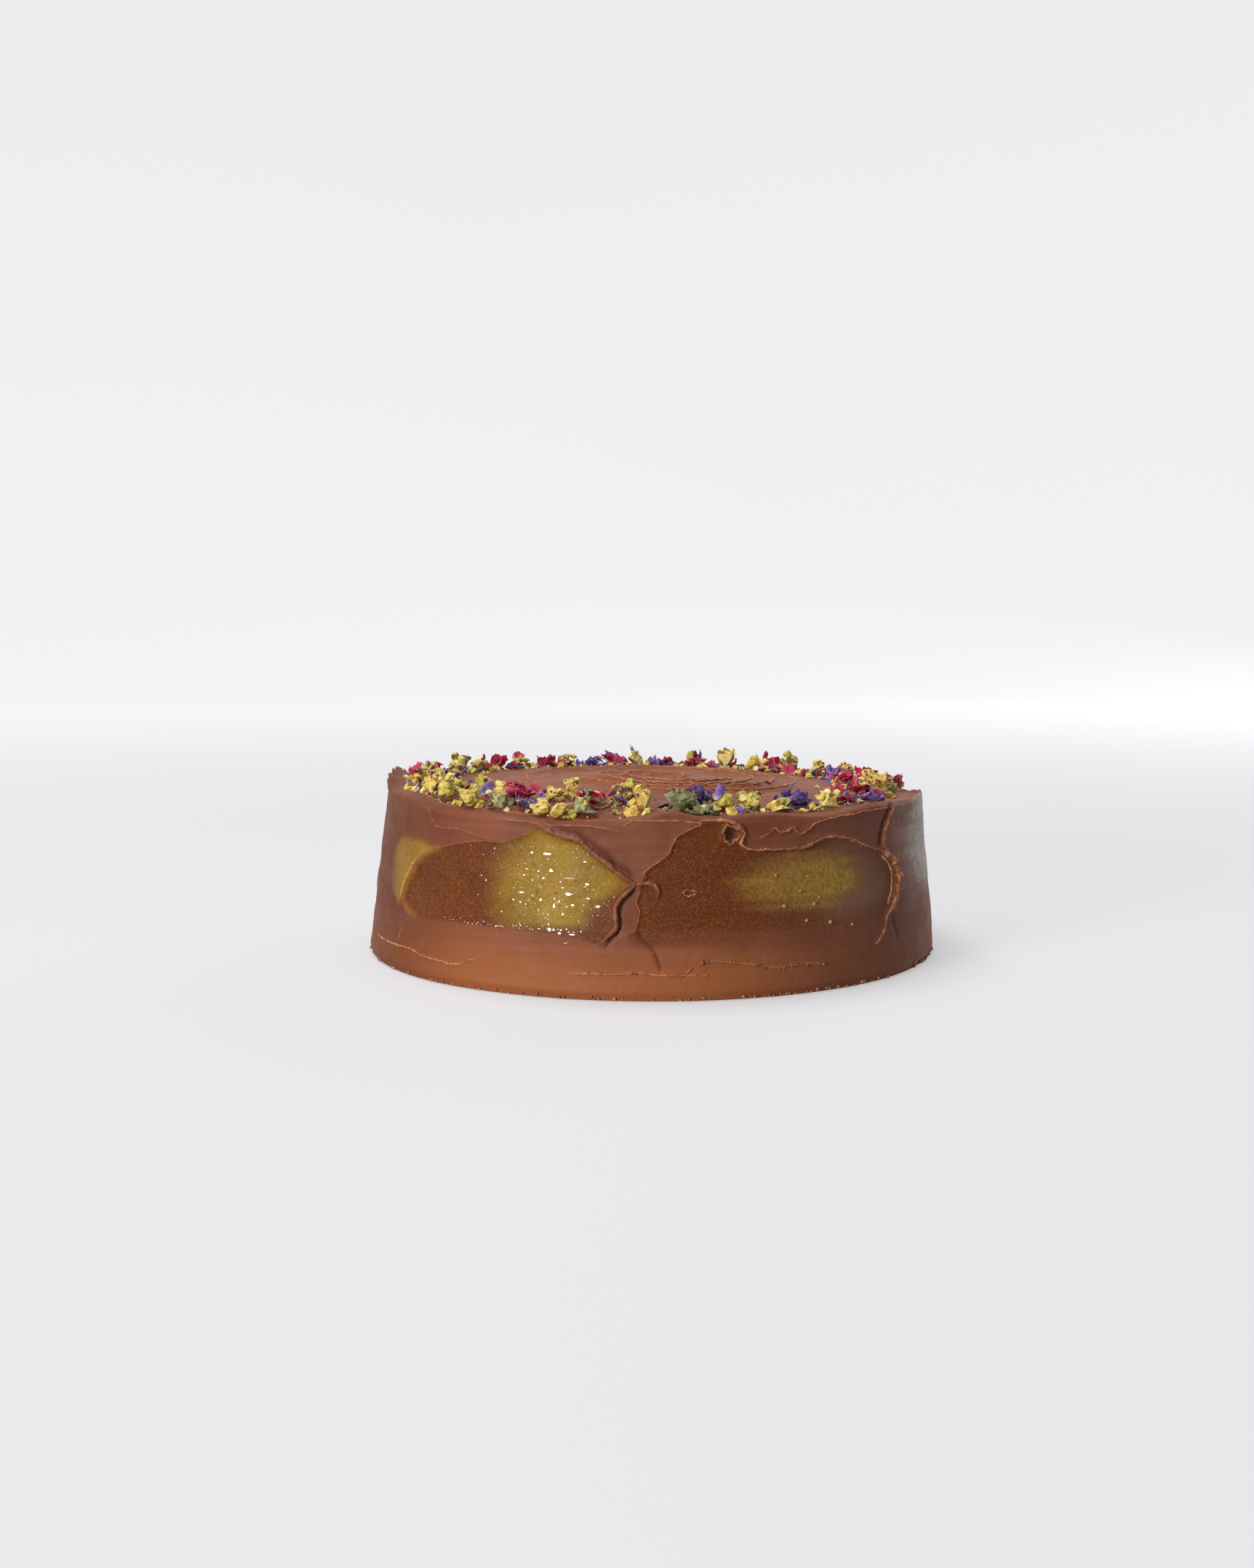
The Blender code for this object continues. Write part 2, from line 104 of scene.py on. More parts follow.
FORK = ((52.4, 22.4), (53.0, 18.7), (54.1, 14.5), (54.5, 12.3))
UPRIGHT = ((56.2, 58.8), (53.9, 54.6), (52.2, 50.8), (51.3, 48.0), (50.8, 45.2))
OVERLAP = (
    (-45.8, 45.5), (-48.8, 43.5), (-52.4, 39.9), (-54.4, 36.1), (-56.4, 31.0), (-57.7, 26.0), (-55.4, 22.2),
    (-52.0, 20.9),
)
PATCH_TOP = (
    (-61.4, 45.7), (-57.3, 47.0), (-50.8, 46.9), (-45.8, 45.5), (-39.6, 48.3), (-33.5, 49.9), (-29.0, 50.0),
    (-25.3, 52.2), (-23.1, 53.8), (-21.3, 56.0),
)
PATCH_FOOT = ((-8.5, 19.9), (-15.2, 20.7), (-26.7, 21.5), (-40.5, 21.5), (-52.0, 20.9))
BOUNDARY = (
    (-1.4, 38.9), (-1.0, 40.3), (-0.5, 42.6), (3.5, 47.7), (3.9, 49.6), (5.5, 53.9), (8.7, 56.7),
    (9.5, 57.6), (6.8, 58.3), (5.9, 59.4),
)
HAIRLINE = (
    (-53.6, 60.0), (-50.1, 57.8), (-48.9, 55.1), (-46.3, 52.6), (-41.2, 52.9), (-37.9, 52.4), (-34.8, 51.4),
    (-31.0, 50.6), (-29.0, 50.0),
)
THIN_FALL = ((-1.9, 36.6), (-1.9, 35.6), (-2.4, 32.1), (-1.8, 29.0), (-2.5, 23.9), (-3.3, 22.4), (-4.6, 21.4))
THIN_FOOT = ((-2.4, 23.4), (-1.0, 19.9), (1.0, 15.6), (1.8, 12.1), (2.0, 9.4))
LOW_MIDDLE = ((-14.5, 8.5), (-11.0, 8.7), (-5.8, 8.7), (-1.6, 9.3), (0.7, 8.7), (8.4, 8.4), (10.5, 8.6))
LOW_SPUR = ((6.4, 9.3), (7.7, 11.0))
LOW_RIGHT = ((9.3, 12.6), (12.8, 12.8), (14.5, 12.2), (18.2, 11.3), (22.8, 9.7), (27.8, 9.8), (33.1, 9.6))
LOW_LEFT = (
    (-70.8, 9.4), (-65.5, 8.6), (-58.1, 8.9), (-52.6, 9.2), (-48.3, 8.1), (-43.8, 7.6), (-38.5, 7.4),
    (-35.1, 9.6), (-33.4, 10.0),
)
LEFT_FALL = ((-55.1, 19.7), (-57.2, 14.9), (-57.8, 9.2))
UPPER_LAYER = (
    (19.9, 53.0), (21.4, 52.6), (23.0, 54.2), (23.9, 55.3), (25.1, 53.9), (26.6, 54.2), (27.8, 55.1),
    (28.9, 53.1), (31.0, 53.9), (33.2, 56.3), (38.6, 57.6), (42.9, 58.0), (46.9, 58.8), (50.8, 59.2),
    (56.2, 58.9),
)
UNDER_RIM = (
    (-30.0, 57.6), (-22.8, 57.0), (-20.8, 56.4), (-17.8, 56.4), (-13.1, 56.6), (-8.5, 56.0), (-5.7, 55.0),
)
FRONT_LIP = ((-5.5, 56.9), (-3.9, 57.6), (-1.7, 59.4), (2.4, 60.2), (6.2, 59.3))

# Smears and bared patches on the side as outlines of angle and height
LEFT_SMEAR = (
    (-61.4, 45.7), (-57.3, 47.0), (-50.8, 46.9), (-45.8, 45.5), (-48.8, 43.5), (-52.4, 39.9), (-54.4, 36.1),
    (-56.4, 31.0), (-57.7, 26.0), (-60.0, 23.0), (-63.5, 27.0), (-64.5, 36.0), (-63.5, 42.0),
)
GLOSSY_SMEAR = (
    (-24.7, 53.0), (-21.0, 55.6), (-17.0, 53.4), (-13.2, 52.0), (-9.5, 46.5), (-3.2, 37.8), (-8.4, 31.2),
    (-11.0, 28.2), (-11.5, 23.5), (-13.5, 21.6), (-26.8, 22.2), (-30.0, 32.0), (-29.0, 42.9),
)
# Oval patches: middle as angle and height, then half the breadth and height
MATT_SMEAR = (29.0, 37.0, 15.0, 10.5)
# A pale film on the right that is a painted sheen
PAINTED_SHEEN_PATCH = (76.0, 43.0, 16.0, 21.0)
AMBER_PATCH = PATCH_TOP[3:] + MAIN_RIDGE[1:] + LOWER_BRANCH[1:] + PATCH_FOOT[1:-1] + OVERLAP[:0:-1]
DARK_PATCH = (BOUNDARY[:-2] + ARCH[1:] + CREST[1:] + CREST_TAIL[1:]
              + ((40.0, 12.0), (20.0, 10.0), (0.0, 12.0)) + THIN_FALL[::-1])

# Ridges of the relief: stroke, height, reach and the share of its length that thins at each end
RIDGES = (
    (MAIN_RIDGE, 1.7, 1.15, 0.12), (HOOK, 0.7, 0.6, 0.12), (LOWER_BRANCH, 1.0, 0.8, 0.12),
    (ARCH, 0.7, 0.7, 0.05), (CREST, 1.5, 1.3, 0.12), (CREST_TAIL, 0.5, 0.7, 0.12), (UPRIGHT, 0.9, 0.8, 0.12),
    (OVERLAP, 0.75, 1.0, 0.12), (BOUNDARY, 0.25, 0.7, 0.12), (UPPER_LAYER, 0.4, 0.8, 0.12),
    (HAIRLINE, 0.25, 0.7, 0.12), (UNDER_RIM, 0.35, 0.8, 0.12),
)
# Grooves of the relief: stroke, how far to the left of it, depth and reach
GROOVES = (
    (MAIN_RIDGE, 2.0, 0.75, 0.75), (LOWER_BRANCH, 1.25, 0.8, 0.55), (UPRIGHT, -1.4, 1.1, 0.8),
    (THIN_FOOT, 0.0, 0.6, 0.5), (FORK, 0.0, 0.6, 0.5), (UNDER_RIM, -1.5, 0.3, 1.0),
)
# Painted shade in the creases, given in the same way, with how dark it is in the place of the depth
PAINTED_CREASE_SHADES = (
    (MAIN_RIDGE, 2.0, 0.5, 0.6), (LOWER_BRANCH, 1.25, 0.9, 0.5), (UPRIGHT, -1.4, 0.8, 0.6),
    (THIN_FOOT, 0.0, 0.7, 0.45), (FORK, 0.0, 0.7, 0.45),
)

# The same knife work round the cake: turned by, mirrored or not, and the angles between which it shows
FRONT_TURN = -1.0
FADE = 6.0  # degrees over which a face fades, to both sides of its end
FACES = ((FRONT_TURN, 1, -92.0, 92.0), (94.0, -1, 92.0, 160.0), (226.0, -1, 160.0, 207.0),
         (-158.0, 1, -153.0, -92.0))

CRATER_ANGLE, CRATER_HEIGHT, CRATER_RADIUS = 15.3, 53.9, 2.9
DIMPLE_ANGLE, DIMPLE_HEIGHT = 7.3, 35.1
DIMPLE_ACROSS, DIMPLE_UP = 2.1, 0.9

# Pale yellow linings beside two strokes
CREST_LINING = ((50.6, 42.4), (52.7, 39.6), (54.0, 35.8), (53.9, 32.1), (53.1, 28.9), (51.9, 25.6))
OVERLAP_LINING = ((-53.2, 39.9), (-55.2, 36.1), (-57.2, 31.0), (-58.4, 26.0))

# Wet places on the glossy smear: angle, height, width and height of each
GLINTS = (
    (-19.5, 46.9, 4.6, 1.0), (-22.7, 47.1, 1.2, 1.2), (-18.6, 41.5, 1.7, 1.4), (-20.1, 38.9, 1.3, 0.9),
    (-21.3, 34.2, 1.0, 1.9), (-24.5, 33.8, 2.6, 0.9), (-17.5, 34.2, 2.3, 0.9), (-15.2, 34.1, 2.9, 1.2),
    (-20.5, 31.8, 1.4, 1.6), (-11.3, 32.9, 1.9, 0.5), (-24.6, 30.6, 1.3, 0.8), (-17.8, 29.9, 1.0, 1.9),
    (-14.2, 30.5, 1.7, 0.8), (-9.5, 30.5, 3.2, 1.2), (-16.0, 27.5, 1.0, 1.4), (-18.5, 22.3, 1.6, 1.7),
    (-16.5, 21.3, 1.8, 0.9), (-14.1, 21.1, 3.0, 0.6), (-15.1, 39.3, 6.0, 0.4), (-11.6, 37.6, 1.9, 1.0),
    (-12.1, 44.8, 1.7, 0.5),
)
GLINT_LEAN = (-0.311, -0.935, 0.170)  # the way that these wet places face
YELLOW_DOTS = (
    (30.8, 38.7), (29.0, 34.1), (33.2, 31.3), (31.9, 29.3), (25.5, 29.5), (35.3, 22.7), (23.9, 39.7),
    (30.1, 24.1), (40.6, 21.0),
)

# Swirl on the top
SWIRL_X, SWIRL_Y = 7.0, 2.0
SWIRL_TURNS, SWIRL_START, SWIRL_PITCH = 5, 4.5, 10.3
SWIRL_FIRST_SWEEP, SWIRL_SWEEP = 150.0, 322.0  # degrees through which the first turn and the others run
SWIRL_HEADING, SWIRL_STEP = 80.0, 65.0  # where the first turn starts, and each later one after it
SWIRL_FADE, SWIRL_END = 54.0, 60.0  # how far from its middle the spiral gives way to plain streaks
FINE_LINES = ((-3.1, 0.65), (-5.4, 0.45), (-7.6, 0.7))  # inwards of each turn, and their height

# Middle of each large topping across and towards the back, then its length, width and height
PISTACHIOS = (
    (-84, -8, 7, 6, 5), (-79, -22, 7, 6, 6), (-80, -38, 8, 6, 6), (-72, -52, 8, 6, 6), (-71, -34, 6, 5, 5),
    (-63, -68, 9, 6, 5), (-60, -45, 8, 7, 6), (-53, -60, 6, 5, 5), (-39, -86, 8, 6, 4), (-32, -90, 6, 6, 5),
    (-34, -66, 7, 6, 5), (-28, -56, 6, 5, 6), (-10, -72, 8, 6, 7), (-3, -84, 8, 6, 7), (24, -82, 8, 6, 6),
    (33, -78, 8, 7, 6), (43, -83, 9, 5, 3), (60, -68, 7, 6, 5), (82, -16, 6, 5, 4), (88, 5, 10, 7, 6),
    (86, 20, 8, 6, 6), (80, 44, 7, 5, 5), (69, 58, 7, 6, 5), (60, 70, 7, 6, 7), (45, 78, 7, 6, 5),
    (33, 84, 9, 7, 7), (-5, 90, 7, 6, 5), (-34, 84, 7, 6, 5), (-54, 70, 7, 6, 5), (-69, 52, 8, 6, 5),
    (-77, 38, 9, 7, 7), (-86, 20, 8, 6, 4),
)
ROSE_PETALS = (
    (-89, 5, 8, 6, 4), (-46, -68, 13, 8, 5), (-50, -48, 8, 7, 5), (-20, -80, 12, 9, 6), (66, -52, 8, 7, 4),
    (70, -38, 9, 7, 5), (76, -24, 9, 6, 6), (72, -8, 10, 8, 5), (83, 33, 9, 7, 4), (52, 66, 14, 8, 6),
    (20, 86, 10, 7, 5), (-15, 82, 10, 7, 5), (-43, 76, 12, 8, 5), (-62, 60, 10, 8, 6), (95, 12, 7, 6, 5),
)
CORNFLOWERS = (
    (-42, -78, 12, 8, 4), (17, -72, 9, 7, 6), (50, -68, 12, 8, 6), (77, -52, 11, 6, 4),
    (74, 32, 9, 6, 5), (6, 82, 12, 8, 4), (-24, 76, 14, 8, 5), (-90, 32, 10, 6, 5),
)
BUDS = ((-52, -76, 6, 6, 5), (-24, -87, 6, 6, 6), (90, -12, 5, 4, 4))
LEAVES = ((9, -86, 11, 7, 6),)
LEAF_DRIFT = BUDS[:2] + LEAVES * 2 + ((15, -85), (16, -84), (14, -87), (17, -85), (13, -84))
CHIPS, CHIP_SMALLEST, CHIP_LARGEST, CHIP_CLEARANCE = 26, 2.4, 3.8, 1.0
CHIP_INNER, CHIP_OUTER = 66.0, 94.0

# The wreath's reach and the small pieces strewn in it
WREATH_INNER, WREATH_OUTER, WREATH_EDGE = 62.0, 90.0, 3.0
FAR_RADIUS, FAR_SPREAD, FAR_LIMIT = 82.0, 4.5, 91.0
FAR_START, FAR_END = 62.0, 298.0  # angles of the stretch without gaps
STREWN_CHIPS, FAR_CHIPS, GRIT = 390, 80, 1500
# Bits of petal and leaf: name, kind, how many, the longest, seed, notch and the pieces that they lie near
BITS = (
    ("rose_bits", "rose_petal", 180, 7.5, 31, 0.05, ROSE_PETALS),
    ("cornflower_bits", "cornflower", 160, 7.5, 57, 0.2, CORNFLOWERS),
    ("leaf_bits", "leaf", 62, 5.6, 83, 0.2, LEAF_DRIFT),
)
FAR_BITS_FROM = 7.0  # kinds whose longest bit is longer lie in the far stretch too

# Small things on the side
FOOT_CRUMBS, RIDGE_CRUMBS = 520, 90
LARGE_CRUMB = (9.3, 12.6, 1.7)  # angle, height and size
SMALL_FLATS, EDGE_FLATS, TINY_FLATS = 34, 52, 170

UP, DOWN = Vector((0, 0, 1)), Vector((0, 0, -1))
OUTSIDE, ABOVE = 140.0, 0.12  # a radius and a height in metres that clear the whole cake


def smoothstep(low, high, value):
    share = np.clip((value - low) / (high - low), 0.0, 1.0)
    return share * share * (3.0 - 2.0 * share)


def tint(red, green, blue):
    """A colour given as a paint swatch from 0 to 255, as the linear colour that shaders take."""
    parts = [channel / 255.0 for channel in (red, green, blue)]
    linear = [part / 12.92 if part <= 0.04045 else ((part + 0.055) / 1.055) ** 2.4 for part in parts]
    return (*linear, 1.0)


def window(value, start, full, falling, end):
    """1 between the two inner limits and 0 outside the two outer ones."""
    return smoothstep(start, full, value) * (1.0 - smoothstep(falling, end, value))


# The surface of the cake, as the solid has it

def rim_height(angle):
    angle = (angle + 180.0) % 360.0 - 180.0
    ring = RIM + ((RIM[0][0] + 360, RIM[0][1]),)
    for (low, before), (high, after) in zip(ring, ring[1:]):
        if low <= angle <= high:
            return before + (after - before) * float(smoothstep(low, high, angle))
    return RIM[0][1]


def top_height(radius, angle, rim):
    """Height of the top: a low dome that leans to the right and meets the uneven rim."""
    dome = CROWN - DOME_DROP * (radius / DOME_AT) ** 2 - LEAN * radius / DOME_AT * np.sin(np.radians(angle))
    return dome + (rim - dome) * smoothstep(DOME_END, RIM_START, radius)


def waviness(angle, height):
    """How far the knife left the side proud or hollow, in millimetres."""
    turn = math.radians(angle)
    broad = noise.noise(Vector((2.2 * math.sin(turn), 2.2 * math.cos(turn), height / 34.0)))
    streak = noise.noise(Vector((4.0 * math.sin(turn), 4.0 * math.cos(turn), height / 9.0 + 7.0)))
    return WAVE * (1.1 * broad + 0.8 * streak)


def side_radii(angles, heights):
    share = heights / HEIGHT
    taper = BASE_RADIUS + (TOP_RADIUS - BASE_RADIUS) * share
    foot = FOOT_INSET * (1.0 - smoothstep(0.0, 3.0, heights))
    waves = np.array([waviness(angle, height) for angle, height in zip(angles.tolist(), heights.tolist())])
    return taper - foot + AXIS_SHIFT * share * np.sin(np.radians(angles)) + waves


def around(radius, angle, height):
    """A point in metres from a radius and height in millimetres and an angle from the front."""
    turn = math.radians(angle)
    return Vector((radius * math.sin(turn), -radius * math.cos(turn), height)) * MM


def noise_over(places, pace, seed=0.0):
    """Smooth noise at an array of places, at a pace along each axis."""
    shifted = places * np.asarray(pace) + seed * np.array((13.7, 5.3, 9.1))
    return np.array([noise.noise(spot) for spot in shifted.tolist()])


def smooth_line(points, step):
    """Points a step apart on a Catmull-Rom curve through the given ones."""
    padded = [Vector(points[0]), *map(Vector, points), Vector(points[-1])]
    line = []
    for a, b, c, d in zip(padded, padded[1:], padded[2:], padded[3:]):
        pieces = max(1, round((c - b).length / step))
        for i in range(pieces):
            t = i / pieces
            line.append(0.5 * (2 * b + (c - a) * t + (2 * a - 5 * b + 4 * c - d) * t * t
                               + (3 * b - a - 3 * c + d) * t ** 3))
    line.append(padded[-1])
    return line


# Knife work on the side

def flat(points):
    """Points of angle and height as lengths along the side and up it."""
    return [(angle * DEGREE, height) for angle, height in points]


def curved(points, step=1.5):
    """The same on a smooth curve."""
    return [(spot.x, spot.y) for spot in smooth_line([(x, y, 0.0) for x, y in flat(points)], step)]


def from_line(across, up, line):
    """Signed distance from a line, positive on the left of its course, and the share of its length."""
    best = np.full(across.shape, 1e6)
    signed, reached = best.copy(), np.zeros(across.shape)
    gone = 0.0
    for (x0, y0), (x1, y1) in zip(line, line[1:]):
        dx, dy = x1 - x0, y1 - y0
        length = math.hypot(dx, dy)
        if length < 1e-6:
            continue
        share = np.clip(((across - x0) * dx + (up - y0) * dy) / length ** 2, 0.0, 1.0)
        off_x, off_y = across - x0 - share * dx, up - y0 - share * dy
        away = np.hypot(off_x, off_y)
        nearer = away < best
        best = np.where(nearer, away, best)
        signed = np.where(nearer, np.where(dx * off_y - dy * off_x >= 0, away, -away), signed)
        reached = np.where(nearer, gone + share * length, reached)
        gone += length
    return signed, reached / gone


def inside(across, up, outline):
    """Signed distance from a closed outline, positive inside it."""
    ring = flat(outline)
    ring.append(ring[0])
    signed, _ = from_line(across, up, ring)
    within = np.zeros(across.shape, bool)
    for (x0, y0), (x1, y1) in zip(ring, ring[1:]):
        if y0 != y1:
            crossed = (up < y0) != (up < y1)
            within ^= crossed & (across < (x1 - x0) * (up - y0) / (y1 - y0) + x0)
    return np.where(within, 1.0, -1.0) * np.abs(signed)


def oval_reach(angle, up, patch, lean=0.0):
    """How far places lie from the middle of an oval patch, 1 on its outline."""
    middle, height, breadth, tall = patch
    aside = angle - middle
    return np.hypot(aside / breadth, (up - height - lean * aside) / tall)


def thin_ends(reached, ends):
    """1 along a stroke, down to 0 at both its ends."""
    return smoothstep(0.0, ends, reached) * smoothstep(0.0, ends, 1.0 - reached)


def bump_along(across, up, points, height, reach, ends):
    """A rounded ridge along a stroke that thins to both ends."""
    signed, reached = from_line(across, up, curved(points))
    return height * np.exp(-(signed / reach) ** 2) * (0.25 + 0.75 * thin_ends(reached, ends))


def groove_beside(across, up, points, offset, depth, reach):
    """A groove that runs beside a stroke."""
    signed, reached = from_line(across, up, curved(points))
    return -depth * np.exp(-((signed - offset) / reach) ** 2) * thin_ends(reached, 0.1)


def knife_work(across, up, wobble, streak):
    """Relief in millimetres and finishes, painted shade and sheen among them, each from 0 to 1, at arrays of
    places on one face of the side.
    """
    x, y = across + 0.55 * wobble, up + 0.5 * np.roll(wobble, 7)
    angle = x / DEGREE
    amber_edge = inside(x, y, AMBER_PATCH)
    dark_edge = inside(x, y, DARK_PATCH)
    amber = smoothstep(-0.3, 0.5, amber_edge)
    dark = smoothstep(-0.3, 0.5, dark_edge) * smoothstep(15.0, 25.0, y + 2.0 * streak)
    glossy_edge = inside(x, y, GLOSSY_SMEAR)
    left_end = smoothstep(-18.0, -27.0, angle)
    glossy_smear = smoothstep(-2.0 - 7.0 * left_end, 5.0 + 6.0 * left_end, glossy_edge + 1.5 * streak) * amber
    smear_reach = oval_reach(angle, y, MATT_SMEAR, 0.05)
    matt_smear = smoothstep(1.12, 0.42 + 0.3 * smoothstep(28.0, 42.0, angle), smear_reach + 0.22 * streak)
    sheen_reach = oval_reach(angle, y, PAINTED_SHEEN_PATCH)
    left_edge = inside(x, y, LEFT_SMEAR)
    left_smear = smoothstep(-1.6, 1.4, left_edge + 0.8 * streak) * smoothstep(-65.5, -59.0, angle)
    haze = smoothstep(-4.0, 10.0, dark_edge) * smoothstep(30.0, 40.0, angle) * smoothstep(20.0, 30.0, y)
    crater_reach = np.hypot(x - CRATER_ANGLE * DEGREE, (y - CRATER_HEIGHT))
    dimple_reach = np.hypot((x - DIMPLE_ANGLE * DEGREE) / DIMPLE_ACROSS, (y - DIMPLE_HEIGHT) / DIMPLE_UP)
    relief = -0.55 * smoothstep(-0.2, 1.4, amber_edge) * smoothstep(19.0, 30.0, y)
    relief -= 0.6 * smoothstep(-0.2, 1.3, dark_edge) * smoothstep(17.0, 27.0, y)
    relief += 0.25 * smoothstep(-0.8, 0.8, left_edge)
    for points, height, reach, ends in RIDGES:
        relief += bump_along(x, y, points, height, reach, ends)
    for points, offset, depth, reach in GROOVES:
        relief += groove_beside(x, y, points, offset, depth, reach)
    relief += 0.6 * np.exp(-((crater_reach - CRATER_RADIUS) / 0.9) ** 2)
    relief -= 0.6 * np.exp(-(crater_reach / 2.1) ** 2)
    relief += 0.25 * np.exp(-((dimple_reach - 1.0) / 0.35) ** 2) - 0.45 * np.exp(-(dimple_reach / 0.75) ** 4)
    low = 1.0 - smoothstep(7.0, 25.0, y + 3.0 * streak)
    for points in (LOW_MIDDLE, LOW_RIGHT, LOW_LEFT):
        signed, reached = from_line(x, y, curved(points))
        lap = smoothstep(-0.5, 0.5, signed) * smoothstep(9.0, 0.0, np.abs(signed))
        relief -= 0.22 * lap * thin_ends(reached, 0.15)
    right_side = smoothstep(52.0, 60.0, angle + 0.12 * (y - 30.0))
    # Painted shade in the crater's hole and in the creases beside strokes
    painted_crease_shade = np.exp(-(crater_reach / 1.9) ** 4) * 0.8
    for points, offset, darkness, reach in PAINTED_CREASE_SHADES:
        painted_crease_shade -= groove_beside(x, y, points, offset, darkness, reach)
    return {
        "relief": relief,
        "green": np.maximum(glossy_smear, 0.7 * left_smear),
        "olive": matt_smear * dark * (0.62 + 0.38 * smoothstep(24.0, 38.0, angle)),
        "haze": haze * dark * (1.0 - 0.75 * matt_smear),
        "amber": np.clip(amber + 0.95 * dark * (1.0 - 0.6 * smoothstep(8.0, 45.0, angle)), 0.0, 1.0),
        "pale": low * (1.0 - 0.62 * smoothstep(8.0, 38.0, angle)),
        "gloss": np.clip(amber * (0.4 + 0.3 * glossy_smear) + 0.6 * left_smear + 0.2 * dark
                         + 0.5 * right_side * smoothstep(18.0, 34.0, y), 0.0, 1.0),
        # painted sheen: a pale film on the right
        "painted_sheen": smoothstep(1.1, 0.4, sheen_reach + 0.2 * streak + 0.1 * wobble),
        # painted shade, darker towards the left
        "painted_shade": smoothstep(-28.0, -62.0, angle),
        "grain": np.clip(0.9 * amber + dark + right_side * smoothstep(20.0, 36.0, y), 0.0, 1.0),
        # a greyer, lighter brown to the right: partly the frosting's tone, partly a painted sheen
        "cool_brown_and_sheen": smoothstep(20.0, 75.0, angle) * (1.0 - low),
        "painted_crease_shade": np.clip(painted_crease_shade, 0.0, 1.0),
        "edge": np.exp(-(from_line(x, y, curved(OVERLAP))[0] / 1.2) ** 2),
    }


# What the vertices carry, each from 0 to 1: green and olive smears, haze round the olive one, amber where a
# darker layer shows, the pale low band, gloss, a pale film that is a painted sheen, painted shade at the left
# and at the rim, grain, a cool brown to the right that is partly a painted sheen, painted shade in the
# creases, and the light edge of the overlap and the spiral
FINISHES_AND_PAINTED_LIGHT = ("green", "olive", "haze", "amber", "pale", "gloss", "painted_sheen", "painted_shade", "grain", "cool_brown_and_sheen", "painted_crease_shade",
            "edge")


def side_fields(angles, heights, wobble, streak):
    """The knife work of every face of the side, faded into each other."""
    total = {name: np.zeros(angles.shape) for name in ("relief",) + FINISHES_AND_PAINTED_LIGHT}
    for turned, sign, low, high in FACES:
        turn = (angles - low + 20.0) % 360.0 + low - 20.0
        share = window(turn, low - FADE, low + FADE, high - FADE, high + FADE)
        near = share > 0.0
        local = sign * (turn[near] - turned)
        fields = knife_work(local * DEGREE, heights[near], wobble[near], streak[near])
        for name, values in fields.items():
            total[name][near] += share[near] * values
    return total


def swirl_sweep(turn):
    """Degrees through which one of the spiral's turns runs."""
    return SWIRL_SWEEP if turn else SWIRL_FIRST_SWEEP


def swirl_line(turn, share):
    """Radius and heading of the knife's spiral, at a share of one of its turns."""
    heading = np.radians(SWIRL_HEADING + SWIRL_STEP * turn + swirl_sweep(turn) * share)
    first = SWIRL_START + SWIRL_PITCH * turn
    return first + SWIRL_PITCH * share * 0.9 + 0.5 * np.sin(5.0 * heading + turn), heading


def fine_offset(offset, number, heading):
    return offset + 0.5 * np.sin(3.0 * heading + number)


def fine_presence(turn, number, heading):
    """Above 0 where one of the finer lines shows."""
    return np.sin(2.0 * heading + 1.9 * turn + 2.4 * number)


def one_sided(off, outer, inner):
    """A rounded edge that falls off over one reach outwards and over another inwards."""
    return np.where(off > 0, np.exp(-(off / outer) ** 2), np.exp(-(off / inner) ** 2))


def top_fields(x, y, wobble, streak):
    """Relief in millimetres and finishes on the top, a cool brown that is partly a painted sheen among them:
    the spiral, its finer lines and streaks round them.
    """
    across, back = x - SWIRL_X, y - SWIRL_Y
    reach = np.hypot(across, back) + 0.7 * wobble
    heading = np.degrees(np.arctan2(across, -back))
    relief, edge = np.zeros(x.shape), np.zeros(x.shape)
    for turn in range(SWIRL_TURNS):
        share = ((heading - SWIRL_HEADING - SWIRL_STEP * turn) % 360.0) / swirl_sweep(turn)
        line, _ = swirl_line(turn, np.clip(share, 0.0, 1.0))
        shown = window(share, 0.0, 0.06, 0.9, 1.0)
        off = reach - line
        relief += shown * 1.35 * one_sided(off, 0.8, 2.0)
        edge = np.maximum(edge, shown * np.exp(-(off / 0.6) ** 2))
        for number, (offset, height) in enumerate(FINE_LINES):
            fine = off - fine_offset(offset, number, np.radians(heading))
            patchy = smoothstep(-0.15, 0.25, fine_presence(turn, number, np.radians(heading)))
            relief += shown * patchy * height * one_sided(fine, 0.7, 1.2)
    calm = smoothstep(SWIRL_FADE, SWIRL_END, reach)
    relief *= 1.0 - calm
    relief += 0.35 * calm * streak + 0.12 * streak
    relief += 0.35 * smoothstep(84.0, 92.0, np.hypot(x, y)) * np.abs(streak)
    fields = dict.fromkeys(FINISHES_AND_PAINTED_LIGHT, np.zeros(x.shape))
    fields["relief"] = relief
    fields["pale"] = 0.30 * (1.0 - smoothstep(45.0, 75.0, reach))
    fields["gloss"] = np.full(x.shape, 0.12)
    # A greyer brown towards the right of the top, partly a painted sheen
    fields["cool_brown_and_sheen"] = 0.25 * smoothstep(10.0, 90.0, x) * calm
    fields["edge"] = 0.25 * edge * (1.0 - calm)
    return fields


